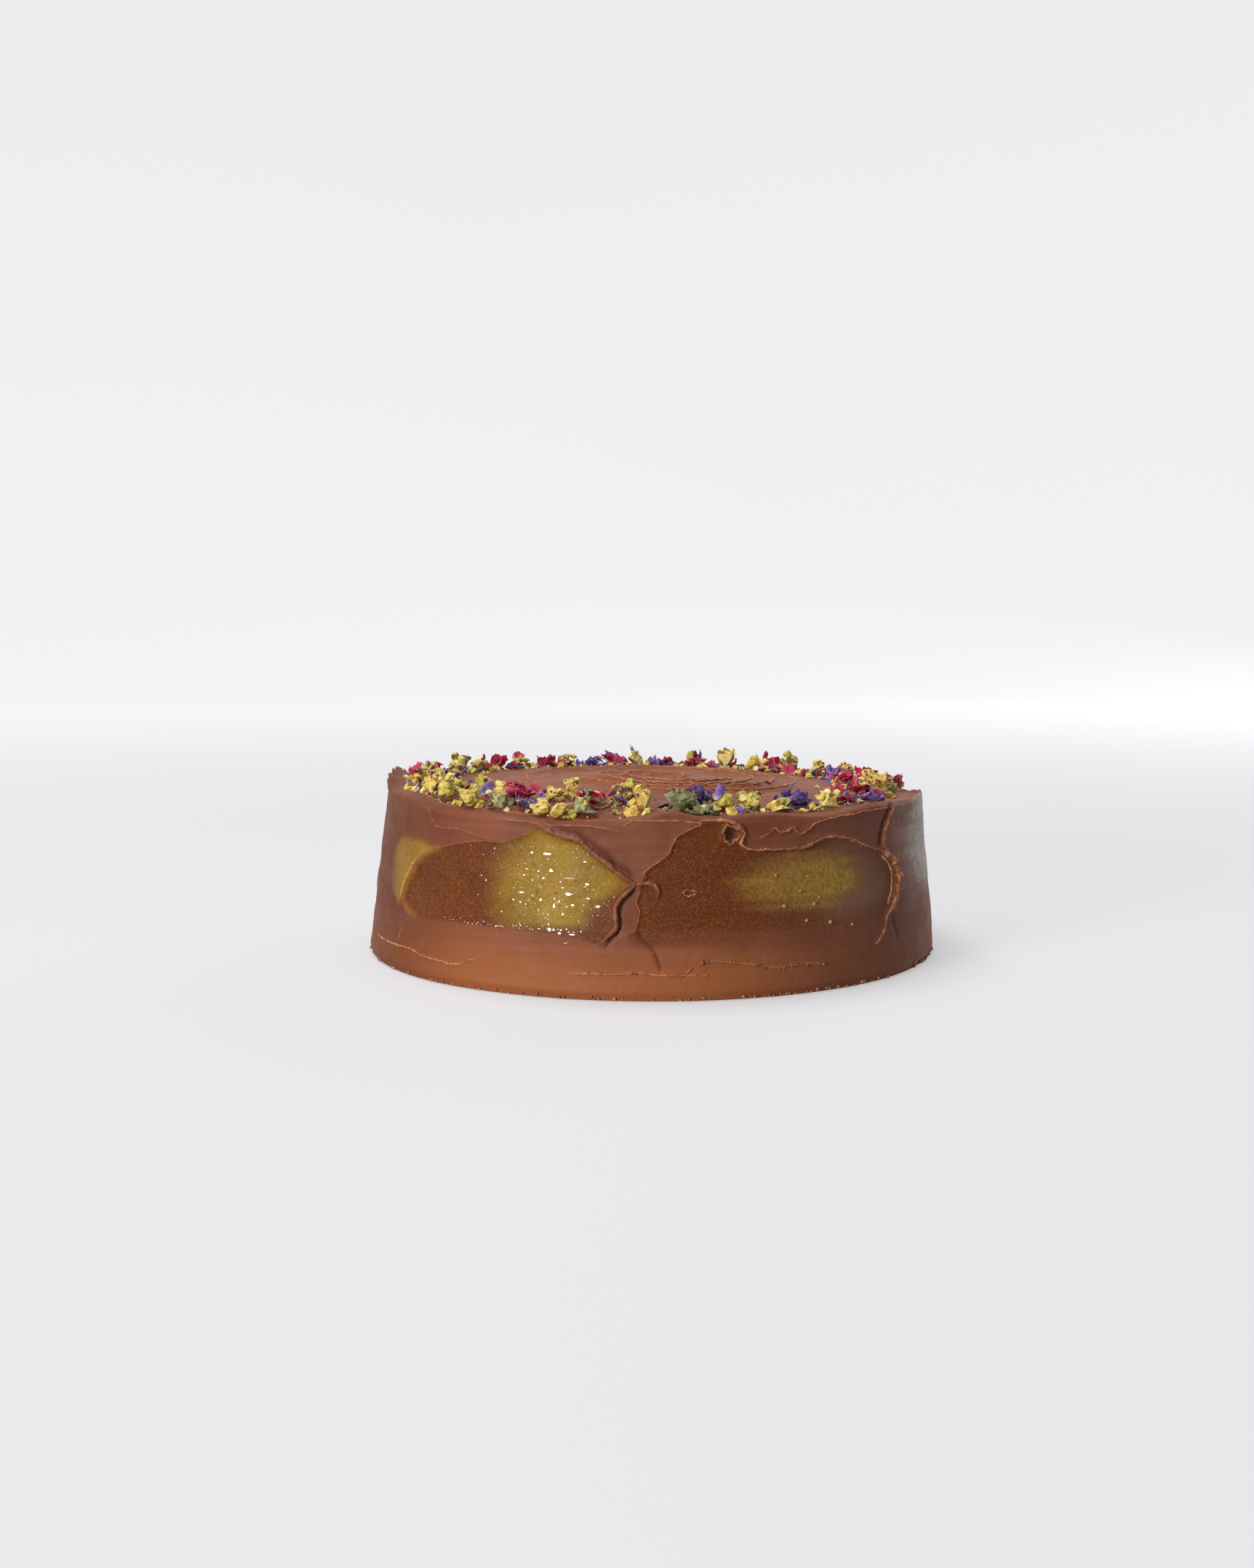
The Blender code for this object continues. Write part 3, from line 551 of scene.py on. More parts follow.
def profile_rows():
    """Rows of the frosting from the foot to the middle: radius, height and how far the way out points up."""
    rows = [(TOP_RADIUS, height, 0.0) for height in FOOT_ROWS]
    side = HEIGHT - SHARP_SHOULDER - FIRST_SIDE_ROW
    count = round(side / SIDE_ROW)
    rows += [(TOP_RADIUS, FIRST_SIDE_ROW + side * i / count, 0.0) for i in range(count + 1)]
    for step in range(1, SHOULDER_ROWS + 1):
        bend = math.pi / 2 * step / SHOULDER_ROWS
        rows.append((TOP_RADIUS - SHARP_SHOULDER * (1 - math.cos(bend)),
                     HEIGHT - SHARP_SHOULDER * (1 - math.sin(bend)), step / SHOULDER_ROWS))
    flat_radius = TOP_RADIUS - SHARP_SHOULDER
    rings = round(flat_radius / TOP_ROW)
    rows += [(flat_radius * (1 - i / rings), HEIGHT, 1.0) for i in range(1, rings)]
    return rows


def column_angles():
    """Angles of the columns, closer together in front than behind."""
    turns = np.linspace(-math.pi, math.pi, COLUMNS, endpoint=False)
    return np.degrees(turns - COLUMN_CROWDING * np.sin(turns))


def ring_faces(outer, inner):
    """Faces between two rings, the inner one of which has as many points or half as many."""
    faces = []
    count = len(inner)
    for i in range(count):
        after = (i + 1) % count
        if len(outer) == count:
            faces.append((outer[i], outer[after], inner[after], inner[i]))
        else:
            faces.append((outer[2 * i], outer[2 * i + 1], inner[i]))
            faces.append((outer[2 * i + 1], outer[(2 * i + 2) % len(outer)], inner[after], inner[i]))
    return faces


def standing_lip(angle):
    """How far the torn lip stands up: most at the left end of the rim, less at the right, else a trace."""
    left = window(angle, -114.0, -104.0, -84.0, -74.0)
    right = window(angle, 66.0, 76.0, 90.0, 98.0)
    return 2.2 * left + 1.4 * right + 0.25


def frosting_grid(angles):
    """Places as radius, height, bend and angle, fewer in the rows near the middle, and each row's numbers."""
    rows, rings, start = [], [], 0
    for radius, height, bend in profile_rows():
        halvings = sum(radius < limit for limit in HALVED_AT)
        ring_angles = angles[::2 ** halvings]
        count = len(ring_angles)
        flat_values = [np.full(count, value) for value in (radius, height, bend)]
        rows.append(np.stack([*flat_values, ring_angles], 1))
        rings.append(list(range(start, start + count)))
        start += count
    return np.concatenate(rows).T, rings


def frosting_mesh():
    """The frosting as one closed mesh, with its finishes, painted shade and sheen among them, as numbers on
    the vertices.
    """
    angles = column_angles()
    (radius, height, bend, angle), rings = frosting_grid(angles)
    rims = {value: rim_height(value) for value in angles.tolist()}
    rim = np.array([rims[value] for value in angle.tolist()])
    height = height / HEIGHT * top_height(np.minimum(radius, RIM_START), angle, rim)
    share = radius / TOP_RADIUS
    reach = np.where(share > OUTER_SHARE, share * side_radii(angle, height), radius)
    turn = np.radians(angle)
    x, y = reach * np.sin(turn), -reach * np.cos(turn)
    places = np.stack([x, y, height], 1)
    wobble = noise_over(places, 0.28) + 0.6 * noise_over(places, 0.75, 1.0)
    sweep = np.where(bend < 0.5, height, np.hypot(x - SWIRL_X, y - SWIRL_Y))
    stretched = np.stack([x, y, sweep], 1)
    streak = noise_over(stretched, (0.02, 0.02, 0.33), 2.0)
    streak = streak + 0.5 * noise_over(stretched, (0.04, 0.04, 0.9), 3.0)
    side = side_fields(angle, height, wobble, streak)
    top = top_fields(x, y, wobble, streak)
    fields = {name: side[name] * (1.0 - bend) + top[name] * bend for name in side}
    # Painted shade along the shoulder of the rim, patchy with the streaks
    rim_shade = (bend > 0.0) * np.exp(-((radius - 99.0) / 3.0) ** 2)
    rim_shade *= 0.5 + 0.5 * np.clip(1.6 * streak, -1.0, 1.0)
    fields["painted_shade"] = np.maximum(fields["painted_shade"], 0.9 * rim_shade)
    lip = np.exp(-((bend - 0.5) / 0.3) ** 2) * (bend > 0.0) * (bend < 1.0)
    ragged = noise_over(places, 0.35, 4.0) + 0.5 * noise_over(places, 0.9, 5.0)
    torn = 0.25 + 0.75 * smoothstep(60.0, 75.0, np.abs(angle))
    relief = fields.pop("relief") + lip * ragged * torn * 0.9
    relief += 0.10 * streak * (1.0 - bend) + 0.08 * noise_over(places, 0.55, 6.0)
    relief *= smoothstep(-0.5, 2.5, height)
    tilt = bend * math.pi / 2
    outward = np.stack([np.sin(turn) * np.cos(tilt), -np.cos(turn) * np.cos(tilt), np.sin(tilt)], 1)
    places = places + outward * relief[:, None]
    standing = np.exp(-((radius - 99.7) / 1.0) ** 2) * (bend > 0.1) * np.clip(1.0 + 0.5 * ragged, 0.5, 1.5)
    places[:, 2] += standing * standing_lip(angle)
    on_rim = np.exp(-((radius - 99.4) / 1.3) ** 2) * (bend > 0.1)
    under_rim = 0.25 * (bend <= 0.1) * smoothstep(52.0, 60.0, height)
    corner = window(angle, -115.0, -104.0, -84.0, -72.0) * (on_rim + under_rim)
    places[:, :2] *= (1.0 + 0.018 * corner)[:, None]
    places[:, 2] = np.maximum(places[:, 2], 0.0)
    faces = []
    for outer, inner in zip(rings, rings[1:]):
        faces += ring_faces(outer, inner)
    middle = len(places)
    centre = (0.0, 0.0, CROWN + 0.1)
    places = np.concatenate([places, [centre, (0.0, 0.0, 0.0)]])
    last, first = rings[-1], rings[0]
    faces += [(last[i], last[(i + 1) % len(last)], middle) for i in range(len(last))]
    faces += [(first[(i + 1) % len(first)], first[i], middle + 1) for i in range(len(first))]
    fields["sweep"] = np.concatenate([stretched, [centre, (0.0, 0.0, 0.0)]]) * MM
    for name in FINISHES_AND_PAINTED_LIGHT:
        fields[name] = np.concatenate([fields[name], [0.0, 0.0]])
    return places * MM, faces, fields


def make_object(name, points, faces, attributes, *materials, smooth=True):
    """A mesh object with numbers or vectors on its vertices."""
    mesh = bpy.data.meshes.new(name)
    mesh.from_pydata([tuple(spot) for spot in np.asarray(points).tolist()], [], faces)
    for label, values in attributes.items():
        values = np.asarray(values, np.float32)
        if values.ndim == 2:
            mesh.attributes.new(label, "FLOAT_VECTOR", "POINT").data.foreach_set("vector", values.ravel())
        else:
            mesh.attributes.new(label, "FLOAT", "POINT").data.foreach_set("value", values)
    for material in materials:
        mesh.materials.append(material)
    if smooth:
        mesh.shade_smooth()
    mesh.update()
    thing = bpy.data.objects.new(name, mesh)
    bpy.context.scene.collection.objects.link(thing)
    return thing


class Pile:
    """Gathers many small shapes into one mesh, with numbers on their vertices."""

    def __init__(self, *labels):
        self.points, self.faces = [], []
        self.numbers = {label: [] for label in labels}

    def add(self, points, faces, **numbers):
        start = len(self.points)
        self.points += [tuple(spot) for spot in points]
        self.faces += [tuple(start + i for i in face) for face in faces]
        for label, kept in self.numbers.items():
            value = numbers.get(label, 0.0)
            kept += list(value) if hasattr(value, "__len__") else [value] * len(points)

    def make(self, name, material, slot, smooth=True):
        thing = make_object(name, self.points, self.faces, self.numbers, material, smooth=smooth)
        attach(thing, "root")
        return thing


def tree_of(things):
    """A search tree over the surfaces of several objects."""
    points, faces = [], []
    for thing in things:
        start = len(points)
        points += [vertex.co.copy() for vertex in thing.data.vertices]
        faces += [tuple(start + i for i in polygon.vertices) for polygon in thing.data.polygons]
    return BVHTree.FromPolygons(points, faces)


def side_spot(tree, angle, height):
    """The point and the way out of the frosting's side at an angle and height."""
    start = around(OUTSIDE, angle, height)
    inward = Vector((-start.x, -start.y, 0.0)).normalized()
    hit = tree.ray_cast(start, inward)
    return hit[0], hit[1]


def top_spot(tree, across, back):
    """The point and the way out of what lies on top of the cake at a place."""
    hit = tree.ray_cast(Vector((across * MM, back * MM, ABOVE)), DOWN)
    return hit[0], hit[1]


def tube_faces(rings, sides):
    """Faces between rings of points that follow each other."""
    faces = []
    for i in range(rings - 1):
        for k in range(sides):
            after = (k + 1) % sides
            faces.append((i * sides + k, i * sides + after, (i + 1) * sides + after, (i + 1) * sides + k))
    return faces


def tube_ends(rings, sides):
    """The faces that close both ends of such rings."""
    return [tuple(range(sides))[::-1], tuple((rings - 1) * sides + k for k in range(sides))]


# Torn edges of the knife strokes

# Smooth ridges of frosting: stroke and width
SMOOTH_RIDGES = ((MAIN_RIDGE, 1.9), (HOOK, 1.3), (LOWER_BRANCH, 1.5))
SMOOTH_ROUGHNESS = 0.12

# Stroke, width, raggedness, brightness
TORN_EDGES = (
    (PATCH_TOP[3:], 0.42, 0.5, 0.35), (BOUNDARY, 0.5, 0.9, 0.9), (HAIRLINE, 0.34, 0.4, 0.35),
    (THIN_FALL, 0.38, 0.4, 0.8), (LOW_MIDDLE, 0.62, 1.6, 0.85), (LOW_SPUR, 0.6, 1.5, 0.8),
    (LOW_RIGHT, 0.62, 1.8, 0.6), (LOW_LEFT, 0.66, 1.5, 1.0), (LEFT_FALL, 0.36, 0.5, 0.5),
    (ARCH, 0.9, 1.7, 0.9), (CREST, 2.1, 1.1, 0.75), (CREST_TAIL, 0.8, 1.2, 0.8), (UPRIGHT, 0.9, 1.3, 0.8),
    (UPPER_LAYER, 0.62, 1.8, 0.75), (UNDER_RIM, 0.45, 0.8, 0.55), (FRONT_LIP, 0.6, 0.6, 0.5),
    (FORK, 0.3, 0.5, 0.6),
)
PLAIN_EDGE = (0.5, 0.9, 0.8)  # the same for a part of a stroke, which has no row of its own
# Strokes with torn tips on them: how many tips, and how long they are
SPIKY = (
    (CREST, 70, 1.5), (CREST_TAIL, 16, 0.6), (ARCH, 90, 0.8), (UPRIGHT, 24, 0.7), (UPPER_LAYER, 24, 0.5),
    (LOW_RIGHT, 30, 0.7), (LOW_LEFT, 24, 0.5), (LOW_MIDDLE, 20, 0.5), (OVERLAP_LINING, 26, 0.6),
)
# Strokes with crumbs along them: how many crumbs, and how large they are
CRUMBLED = (
    (LOW_MIDDLE, 30, 0.7), (LOW_RIGHT, 34, 0.9), (LOW_LEFT, 26, 0.6), (CREST, 16, 0.7), (ARCH, 30, 0.5),
    (OVERLAP, 26, 0.5),
)
# Strokes of the faces behind: how far the face is turned, and mirrored or not
BACK_EDGES = (
    ((PATCH_TOP[3:], HAIRLINE, LOW_LEFT, LEFT_FALL, MAIN_RIDGE, LOWER_BRANCH), 94.0, -1),
    ((ARCH[6:], CREST, CREST_TAIL, UPPER_LAYER[2:], UPRIGHT, LOW_RIGHT), 226.0, -1),
    ((ARCH, CREST, CREST_TAIL, UPPER_LAYER, UPRIGHT, LOW_RIGHT), -158.0, 1), ((LOW_MIDDLE,), 180.0, 1),
)
# Short strokes on the front rim: first and last angle, and how far in from the rim
RIM_STROKES = (
    (-62, -44, 5.5), (-41, -20, 3.4), (-36, -24, 5.6), (-17, -3, 3.2), (14, 33, 3.0), (22, 46, 5.4),
    (40, 58, 3.6),
)
RING_STEPS = 56


def ragged_bead(pile, spots, width, rough, bright, seed, sides=6, lining=0.0):
    """An uneven bead of frosting along places on the surface, with torn crumbs on it."""
    points, brights = [], []
    last = len(spots) - 1
    for i, (place, out) in enumerate(spots):
        ahead = spots[min(i + 1, last)][0] - spots[max(i - 1, 0)][0]
        side = ahead.cross(out).normalized()
        ends = min(1.0, 0.3 + 6.0 * min(i, last - i) / max(1, last))
        swell = 1.0 + 0.5 * noise.noise(place * 420.0 + Vector((seed, 0, 0)))
        half = width / 2 * ends * max(0.35, swell) * MM
        for k in range(sides):
            turn = math.tau * k / sides
            torn = noise.noise(place * 1500.0 + Vector((1.7 * k, seed, 0.0)))
            grown = 1.0 + rough * max(0.0, torn) + 0.2 * torn
            around_it = side * math.cos(turn) + out * (0.75 * math.sin(turn) + 0.1)
            points.append(place + around_it * half * grown)
            brights.append(bright * (0.75 + 0.5 * torn) + 0.15 * math.sin(turn))
    faces = tube_faces(len(spots), sides) + tube_ends(len(spots), sides)
    pile.add(points, faces, bright=brights, lining=lining)


def spike(pile, place, heading, length, width, bright):
    """A thin torn tip of frosting."""
    side = heading.orthogonal().normalized()
    other = heading.cross(side)
    points = [place + (side * math.cos(turn) + other * math.sin(turn)) * width * MM / 2
              for turn in (0.0, math.tau / 4, math.tau / 2, 3 * math.tau / 4)]
    points.append(place + heading * length * MM)
    pile.add(points, [(0, 1, 4), (1, 2, 4), (2, 3, 4), (3, 0, 4), (3, 2, 1, 0)], bright=bright)


def side_stroke(tree, points, turned=FRONT_TURN, sign=1, step=0.5, stray=0.3):
    """Places on the frosting along a stroke on the side, which strays a little to both sides."""
    spots = []
    for x, y in curved(points, step):
        slow, quick = Vector((0.9 * x, 0.9 * y, 3.0)), Vector((2.3 * x, 2.3 * y, 8.0))
        y += stray * (noise.noise(slow) + 0.6 * noise.noise(quick))
        x += stray * noise.noise(Vector((0.9 * x, 0.9 * y, 5.0)))
        hit = side_spot(tree, sign * x / DEGREE + turned, min(y, 58.5))
        if hit[0] is not None:
            spots.append(hit)
    return spots


def ring_bead(pile, tree, middle, across, up, width, bright):
    """An uneven torn ring on the side, round a middle given as angle and height."""
    ring = []
    for step in range(RING_STEPS + 1):
        turn = math.tau * step / RING_STEPS
        grown = 1.0 + 0.13 * math.sin(3 * turn + 1.0) + 0.08 * math.sin(7 * turn) + 0.05 * math.sin(13 * turn)
        angle = middle[0] + FRONT_TURN + across * grown * math.cos(turn) / DEGREE
        ring.append(side_spot(tree, angle, middle[1] + up * grown * math.sin(turn)))
    ragged_bead(pile, ring, width, rough=1.4, bright=bright, seed=70)


def swirl_spot(tree, radius, heading):
    return top_spot(tree, SWIRL_X + radius * math.sin(heading), SWIRL_Y - radius * math.cos(heading))


def fine_runs(tree, turn, number, offset, pieces):
    """The stretches in which one of the finer lines beside a turn of the spiral shows."""
    run = []
    for i in range(pieces + 1):
        radius, heading = swirl_line(turn, i / pieces)
        radius += float(fine_offset(offset, number, heading))
        missing = 0.1 + 0.5 * noise.noise(Vector((i * 0.09, turn, number)))
        if radius > 2.5 and fine_presence(turn, number, heading) > missing:
            run.append(swirl_spot(tree, radius, heading))
            continue
        if len(run) > 8:
            yield run
        run = []
    if len(run) > 8:
        yield run


def swirl_beads(pile, tree):
    """The torn edge of the spiral and of the finer lines inwards of it."""
    for turn in range(SWIRL_TURNS):
        first = SWIRL_START + SWIRL_PITCH * turn
        pieces = round(math.tau * first / 0.9) + 20
        spots = []
        for i in range(pieces + 1):
            radius, heading = swirl_line(turn, i / pieces)
            stray = Vector((math.cos(heading) * first * 0.4, math.sin(heading) * first * 0.4, turn))
            spots.append(swirl_spot(tree, radius + 0.35 * noise.noise(stray), heading))
        ragged_bead(pile, spots, width=0.7, rough=1.4, bright=0.8, seed=60 + turn, sides=5)
        for number, (offset, _) in enumerate(FINE_LINES):
            for run in fine_runs(tree, turn, number, offset, pieces):
                seed = 90 + 4 * turn + number
                ragged_bead(pile, run, width=0.36, rough=1.1, bright=0.6, seed=seed, sides=4)


def rim_beads(pile, tree):
    """The short strokes that run along the front of the rim."""
    for number, (first, last, inset) in enumerate(RIM_STROKES):
        line = []
        for turn in np.linspace(first, last, round((last - first) * 2.2)).tolist():
            radius = 98.5 - inset + 0.9 * noise.noise(Vector((turn * 0.11, number, 0.0)))
            heading = math.radians(turn)
            line.append(top_spot(tree, radius * math.sin(heading), -radius * math.cos(heading)))
        ragged_bead(pile, line, width=0.55, rough=1.2, bright=0.35, seed=120 + number, sides=5)


def torn_tips(pile, tree):
    """Thin torn tips on the rougher strokes of the front."""
    draw = random.Random(13)
    for points, count, length in SPIKY:
        line = side_stroke(tree, points)
        for _ in range(count):
            step = draw.randrange(1, len(line))
            place, out = line[step]
            right = (line[step][0] - line[step - 1][0]).cross(out).normalized()
            heading = (out * draw.uniform(0.2, 1.0) + right * draw.uniform(-0.2, 1.2)
                       + Vector((0.0, 0.0, draw.uniform(-0.7, 0.5)))).normalized()
            long, wide = length * draw.uniform(0.4, 1.2), length * draw.uniform(0.3, 0.7)
            spike(pile, place - out * 0.1 * MM, heading, long, wide, draw.uniform(0.5, 1.0))


def torn_edges(tree, material):
    """Every torn edge on the side, the rim and the spiral, and the two torn rings, as one piece."""
    pile = Pile("bright", "lining")
    for number, (points, width, rough, bright) in enumerate(TORN_EDGES):
        ragged_bead(pile, side_stroke(tree, points), width, rough, bright, number)
    for number, (points, width) in enumerate(SMOOTH_RIDGES):
        line = side_stroke(tree, points, stray=0.1)
        ragged_bead(pile, line, width, SMOOTH_ROUGHNESS, bright=0.0, seed=20 + number, sides=10)
    for number, points in enumerate((CREST_LINING, OVERLAP_LINING)):
        line = side_stroke(tree, points)
        ragged_bead(pile, line, width=0.7, rough=1.4, bright=0.9, seed=30 + number, lining=0.75)
    torn_tips(pile, tree)
    widths = {points: (width, rough, bright) for points, width, rough, bright in TORN_EDGES}
    widths.update({points: (width, SMOOTH_ROUGHNESS, 0.0) for points, width in SMOOTH_RIDGES})
    for number, (strokes, turned, sign) in enumerate(BACK_EDGES):
        for points in strokes:
            width, rough, bright = widths.get(points, PLAIN_EDGE)
            ragged_bead(pile, side_stroke(tree, points, turned, sign), width, rough, bright, 40 + number)
    swirl_beads(pile, tree)
    rim_beads(pile, tree)
    crater, dimple = (CRATER_ANGLE, CRATER_HEIGHT), (DIMPLE_ANGLE, DIMPLE_HEIGHT)
    ring_bead(pile, tree, crater, CRATER_RADIUS, CRATER_RADIUS, width=0.9, bright=0.6)
    ring_bead(pile, tree, dimple, DIMPLE_ACROSS, DIMPLE_UP, width=0.45, bright=0.7)
    return pile.make("torn_edges", material, "frosting")


def crumb(pile, place, out, size, seed, **numbers):
    """A small uneven crumb that sits on a surface, with no point below the base."""
    work = bmesh.new()
    bmesh.ops.create_icosphere(work, subdivisions=1, radius=0.5)
    points = []
    for vertex in work.verts:
        spot = vertex.co * (1.0 + 0.5 * noise.noise(vertex.co * 2.3 + Vector((seed * 1.31, seed * 0.7, 0.0))))
        point = place + (spot + out * 0.28) * size * MM
        point.z = max(point.z, 0.0)
        points.append(point)
    faces = [tuple(vertex.index for vertex in face.verts) for face in work.faces]
    work.free()
    pile.add(points, faces, **numbers)


def foot_crumbs(tree, material):
    """Orange crumbs all round the foot, crumbs along the torn strokes, and the dots on the matt smear."""
    pile = Pile("bright", "lining")
    draw = random.Random(11)
    for number in range(FOOT_CRUMBS):
        angle = draw.uniform(-180, 180)
        place, out = side_spot(tree, angle, draw.uniform(0.3, 1.3 if number % 3 else 0.7))
        crumb(pile, place, out, 0.3 + 1.1 * draw.random() ** 2, number, bright=draw.uniform(0.5, 1.2))
    for points, count, size in CRUMBLED:
        line = side_stroke(tree, points)
        for number in range(count):
            place, out = line[draw.randrange(len(line))]
            shift = Vector((draw.uniform(-1, 1), draw.uniform(-1, 1), draw.uniform(-1, 1))) * 0.5 * MM
            grown = size * draw.uniform(0.4, 1.1)
            crumb(pile, place + shift, out, grown, number, bright=draw.uniform(0.5, 1.0))
    angle, height, size = LARGE_CRUMB
    place, out = side_spot(tree, angle + FRONT_TURN, height)
    crumb(pile, place, out, size, 3, bright=0.4)
    for number, (angle, height) in enumerate(YELLOW_DOTS):
        place, out = side_spot(tree, angle + FRONT_TURN, height)
        crumb(pile, place - out * 0.25 * MM, out, draw.uniform(0.9, 1.6), number, bright=0.4, lining=0.6)
    for number in range(RIDGE_CRUMBS):
        place, out = side_spot(tree, draw.gauss(-9.5, 1.3), draw.gauss(28.0, 3.0))
        size = draw.uniform(0.2, 0.5)
        crumb(pile, place - out * 0.1 * MM, out, size, number, bright=draw.uniform(0.2, 0.9))
    return pile.make("crumbs", material, "frosting")


def wet_places(tree, material):
    """Small wet flats with uneven outlines on the glossy smear and along its lower edge, as one piece."""
    pile = Pile()
    draw = random.Random(17)
    flats = [(angle, height, 0.8 * width, 0.8 * tall) for angle, height, width, tall in GLINTS]
    flats += [(draw.gauss(-18.5, 4.2), draw.gauss(33.0, 7.0), draw.uniform(0.3, 0.9), draw.uniform(0.3, 0.8))
              for _ in range(SMALL_FLATS)]
    flats += [(-43.0 + 0.62 * (number + draw.random()), 21.8 + abs(draw.gauss(0.0, 0.8)),
               (0.22 + 0.008 * number) * draw.uniform(0.6, 1.5), draw.uniform(0.25, 0.5))
              for number in range(EDGE_FLATS)]
    flats += [(draw.gauss(-19.0, 8.0), draw.uniform(22.0, 50.0), draw.uniform(0.2, 0.4),
               draw.uniform(0.15, 0.35)) for _ in range(TINY_FLATS)]
    places = np.array(flats)
    kept = inside(places[:, 0] * DEGREE, places[:, 1], AMBER_PATCH) > 0.4
    kept |= places[:, 1] < 23.0
    for angle, height, width, tall in places[kept].tolist():
        place, out = side_spot(tree, angle + FRONT_TURN, height)
        facing = (Vector(GLINT_LEAN) + Vector((draw.gauss(0, 1), 0.0, draw.gauss(0, 1))) * 0.055).normalized()
        across = facing.cross(UP).normalized()
        up = across.cross(facing)
        corners = max(6, round(5 + 2 * width))
        flat_ring, skirt = [], []
        for i in range(corners):
            turn = math.tau * i / corners
            grown = draw.uniform(0.65, 1.15) / 2
            shift = (across * math.cos(turn) * width + up * math.sin(turn) * tall) * grown * MM
            flat_ring.append(place + out * 0.16 * MM + shift)
            skirt.append(place - out * 0.6 * MM + shift * 1.4)
        faces = [tuple(range(corners))]
        faces += [(i, corners + i, corners + (i + 1) % corners, (i + 1) % corners) for i in range(corners)]
        pile.add(flat_ring + skirt, faces)
    return pile.make("wet_places", material, "frosting", smooth=False)


# Materials

def put(tree, value, socket):
    """Join a socket to another, or set its value; a plain number or a colour."""
    if isinstance(value, bpy.types.NodeSocket):
        tree.links.new(value, socket)
    else:
        socket.default_value = value


def node(tree, kind, inputs=None, **settings):
    made = tree.nodes.new("ShaderNode" + kind)
    for name, value in settings.items():
        setattr(made, name, value)
    for name, value in (inputs or {}).items():
        put(tree, value, made.inputs[name])
    return made


def mixed(tree, share, first, second):
    made = node(tree, "Mix", data_type="RGBA")
    for place, value in ((0, share), (6, first), (7, second)):
        put(tree, value, made.inputs[place])
    return made.outputs[2]


def ranged(tree, value, low, high, to_low=0.0, to_high=1.0):
    made = node(tree, "MapRange", {"Value": value, "From Min": low, "From Max": high, "To Min": to_low,
                                   "To Max": to_high}, interpolation_type="SMOOTHSTEP")
    return made.outputs["Result"]


def sums(tree, operation, first, second):
    made = node(tree, "Math", operation=operation)
    put(tree, first, made.inputs[0])
    put(tree, second, made.inputs[1])
    return made.outputs[0]


def times(tree, first, second):
    return sums(tree, "MULTIPLY", first, second)


def plus(tree, first, second):
    return sums(tree, "ADD", first, second)


def carried(tree, name):
    """A number carried by the vertices."""
    return node(tree, "Attribute", attribute_name=name).outputs["Fac"]


def noise_of(tree, vector, scale, detail=3.0, rough=0.55):
    made = node(tree, "TexNoise", {"Vector": vector, "Scale": scale, "Detail": detail, "Roughness": rough})
    return made.outputs["Fac"]


def new_effect(name, inputs, outputs):
    """An empty node group with named sockets, and its two ends."""
    group = bpy.data.node_groups.new(name, "ShaderNodeTree")
    for label, kind, value in inputs:
        socket = group.interface.new_socket(label, in_out="INPUT", socket_type="NodeSocket" + kind)
        if value is not None:
            socket.default_value = value
    for label, kind in outputs:
        group.interface.new_socket(label, in_out="OUTPUT", socket_type="NodeSocket" + kind)
    return group, group.nodes.new("NodeGroupInput").outputs, group.nodes.new("NodeGroupOutput").inputs


def mottle_effect():
    """Two colours mixed in soft patches."""
    group, given, out = new_effect(
        "mottle",
        [("Coordinates", "Vector", None), ("Scale", "Float", 100.0), ("First", "Color", None),
         ("Second", "Color", None)],
        [("Colour", "Color")])
    patches = ranged(group, noise_of(group, given["Coordinates"], given["Scale"]), 0.35, 0.65)
    put(group, mixed(group, patches, given["First"], given["Second"]), out["Colour"])
    return group


def specks_effect():
    """Scattered small specks of one size, as a mask."""
    group, given, out = new_effect(
        "specks", [("Coordinates", "Vector", None), ("Scale", "Float", 900.0), ("Size", "Float", 0.25)],
        [("Mask", "Float")])
    cells = node(group, "TexVoronoi", {"Vector": given["Coordinates"], "Scale": given["Scale"]})
    chosen = node(group, "SeparateColor", {"Color": cells.outputs["Color"]}).outputs[0]
    few = ranged(group, chosen, 0.5, 0.62)
    near = ranged(group, cells.outputs["Distance"], given["Size"], 0.0)
    put(group, times(group, few, near), out["Mask"])
    return group


def grain_effect():
    """Height of a fine grain with a coarser one under it."""
    group, given, out = new_effect(
        "grain", [("Coordinates", "Vector", None), ("Scale", "Float", 900.0), ("Coarse", "Float", 0.5)],
        [("Height", "Float")])
    fine = noise_of(group, given["Coordinates"], given["Scale"], 2.0)
    slower = times(group, given["Scale"], 0.35)
    coarse = times(group, noise_of(group, given["Coordinates"], slower, 2.0), given["Coarse"])
    put(group, plus(group, fine, coarse), out["Height"])
    return group


def place_effect(tree, group, inputs):
    made = node(tree, "Group", node_tree=group)
    for name, value in inputs.items():
        put(tree, value, made.inputs[name])
    return made.outputs


def mottled(tree, effects, spot, scale, first, second):
    """Two swatches in soft patches."""
    return place_effect(tree, effects["mottle"], {
        "Coordinates": spot, "Scale": scale, "First": tint(*first), "Second": tint(*second)})["Colour"]


def speckled(tree, effects, spot, scale, size):
    return place_effect(tree, effects["specks"], {"Coordinates": spot, "Scale": scale, "Size": size})["Mask"]


def grained(tree, effects, spot, scale, coarse):
    given = {"Coordinates": spot, "Scale": scale, "Coarse": coarse}
    return place_effect(tree, effects["grain"], given)["Height"]


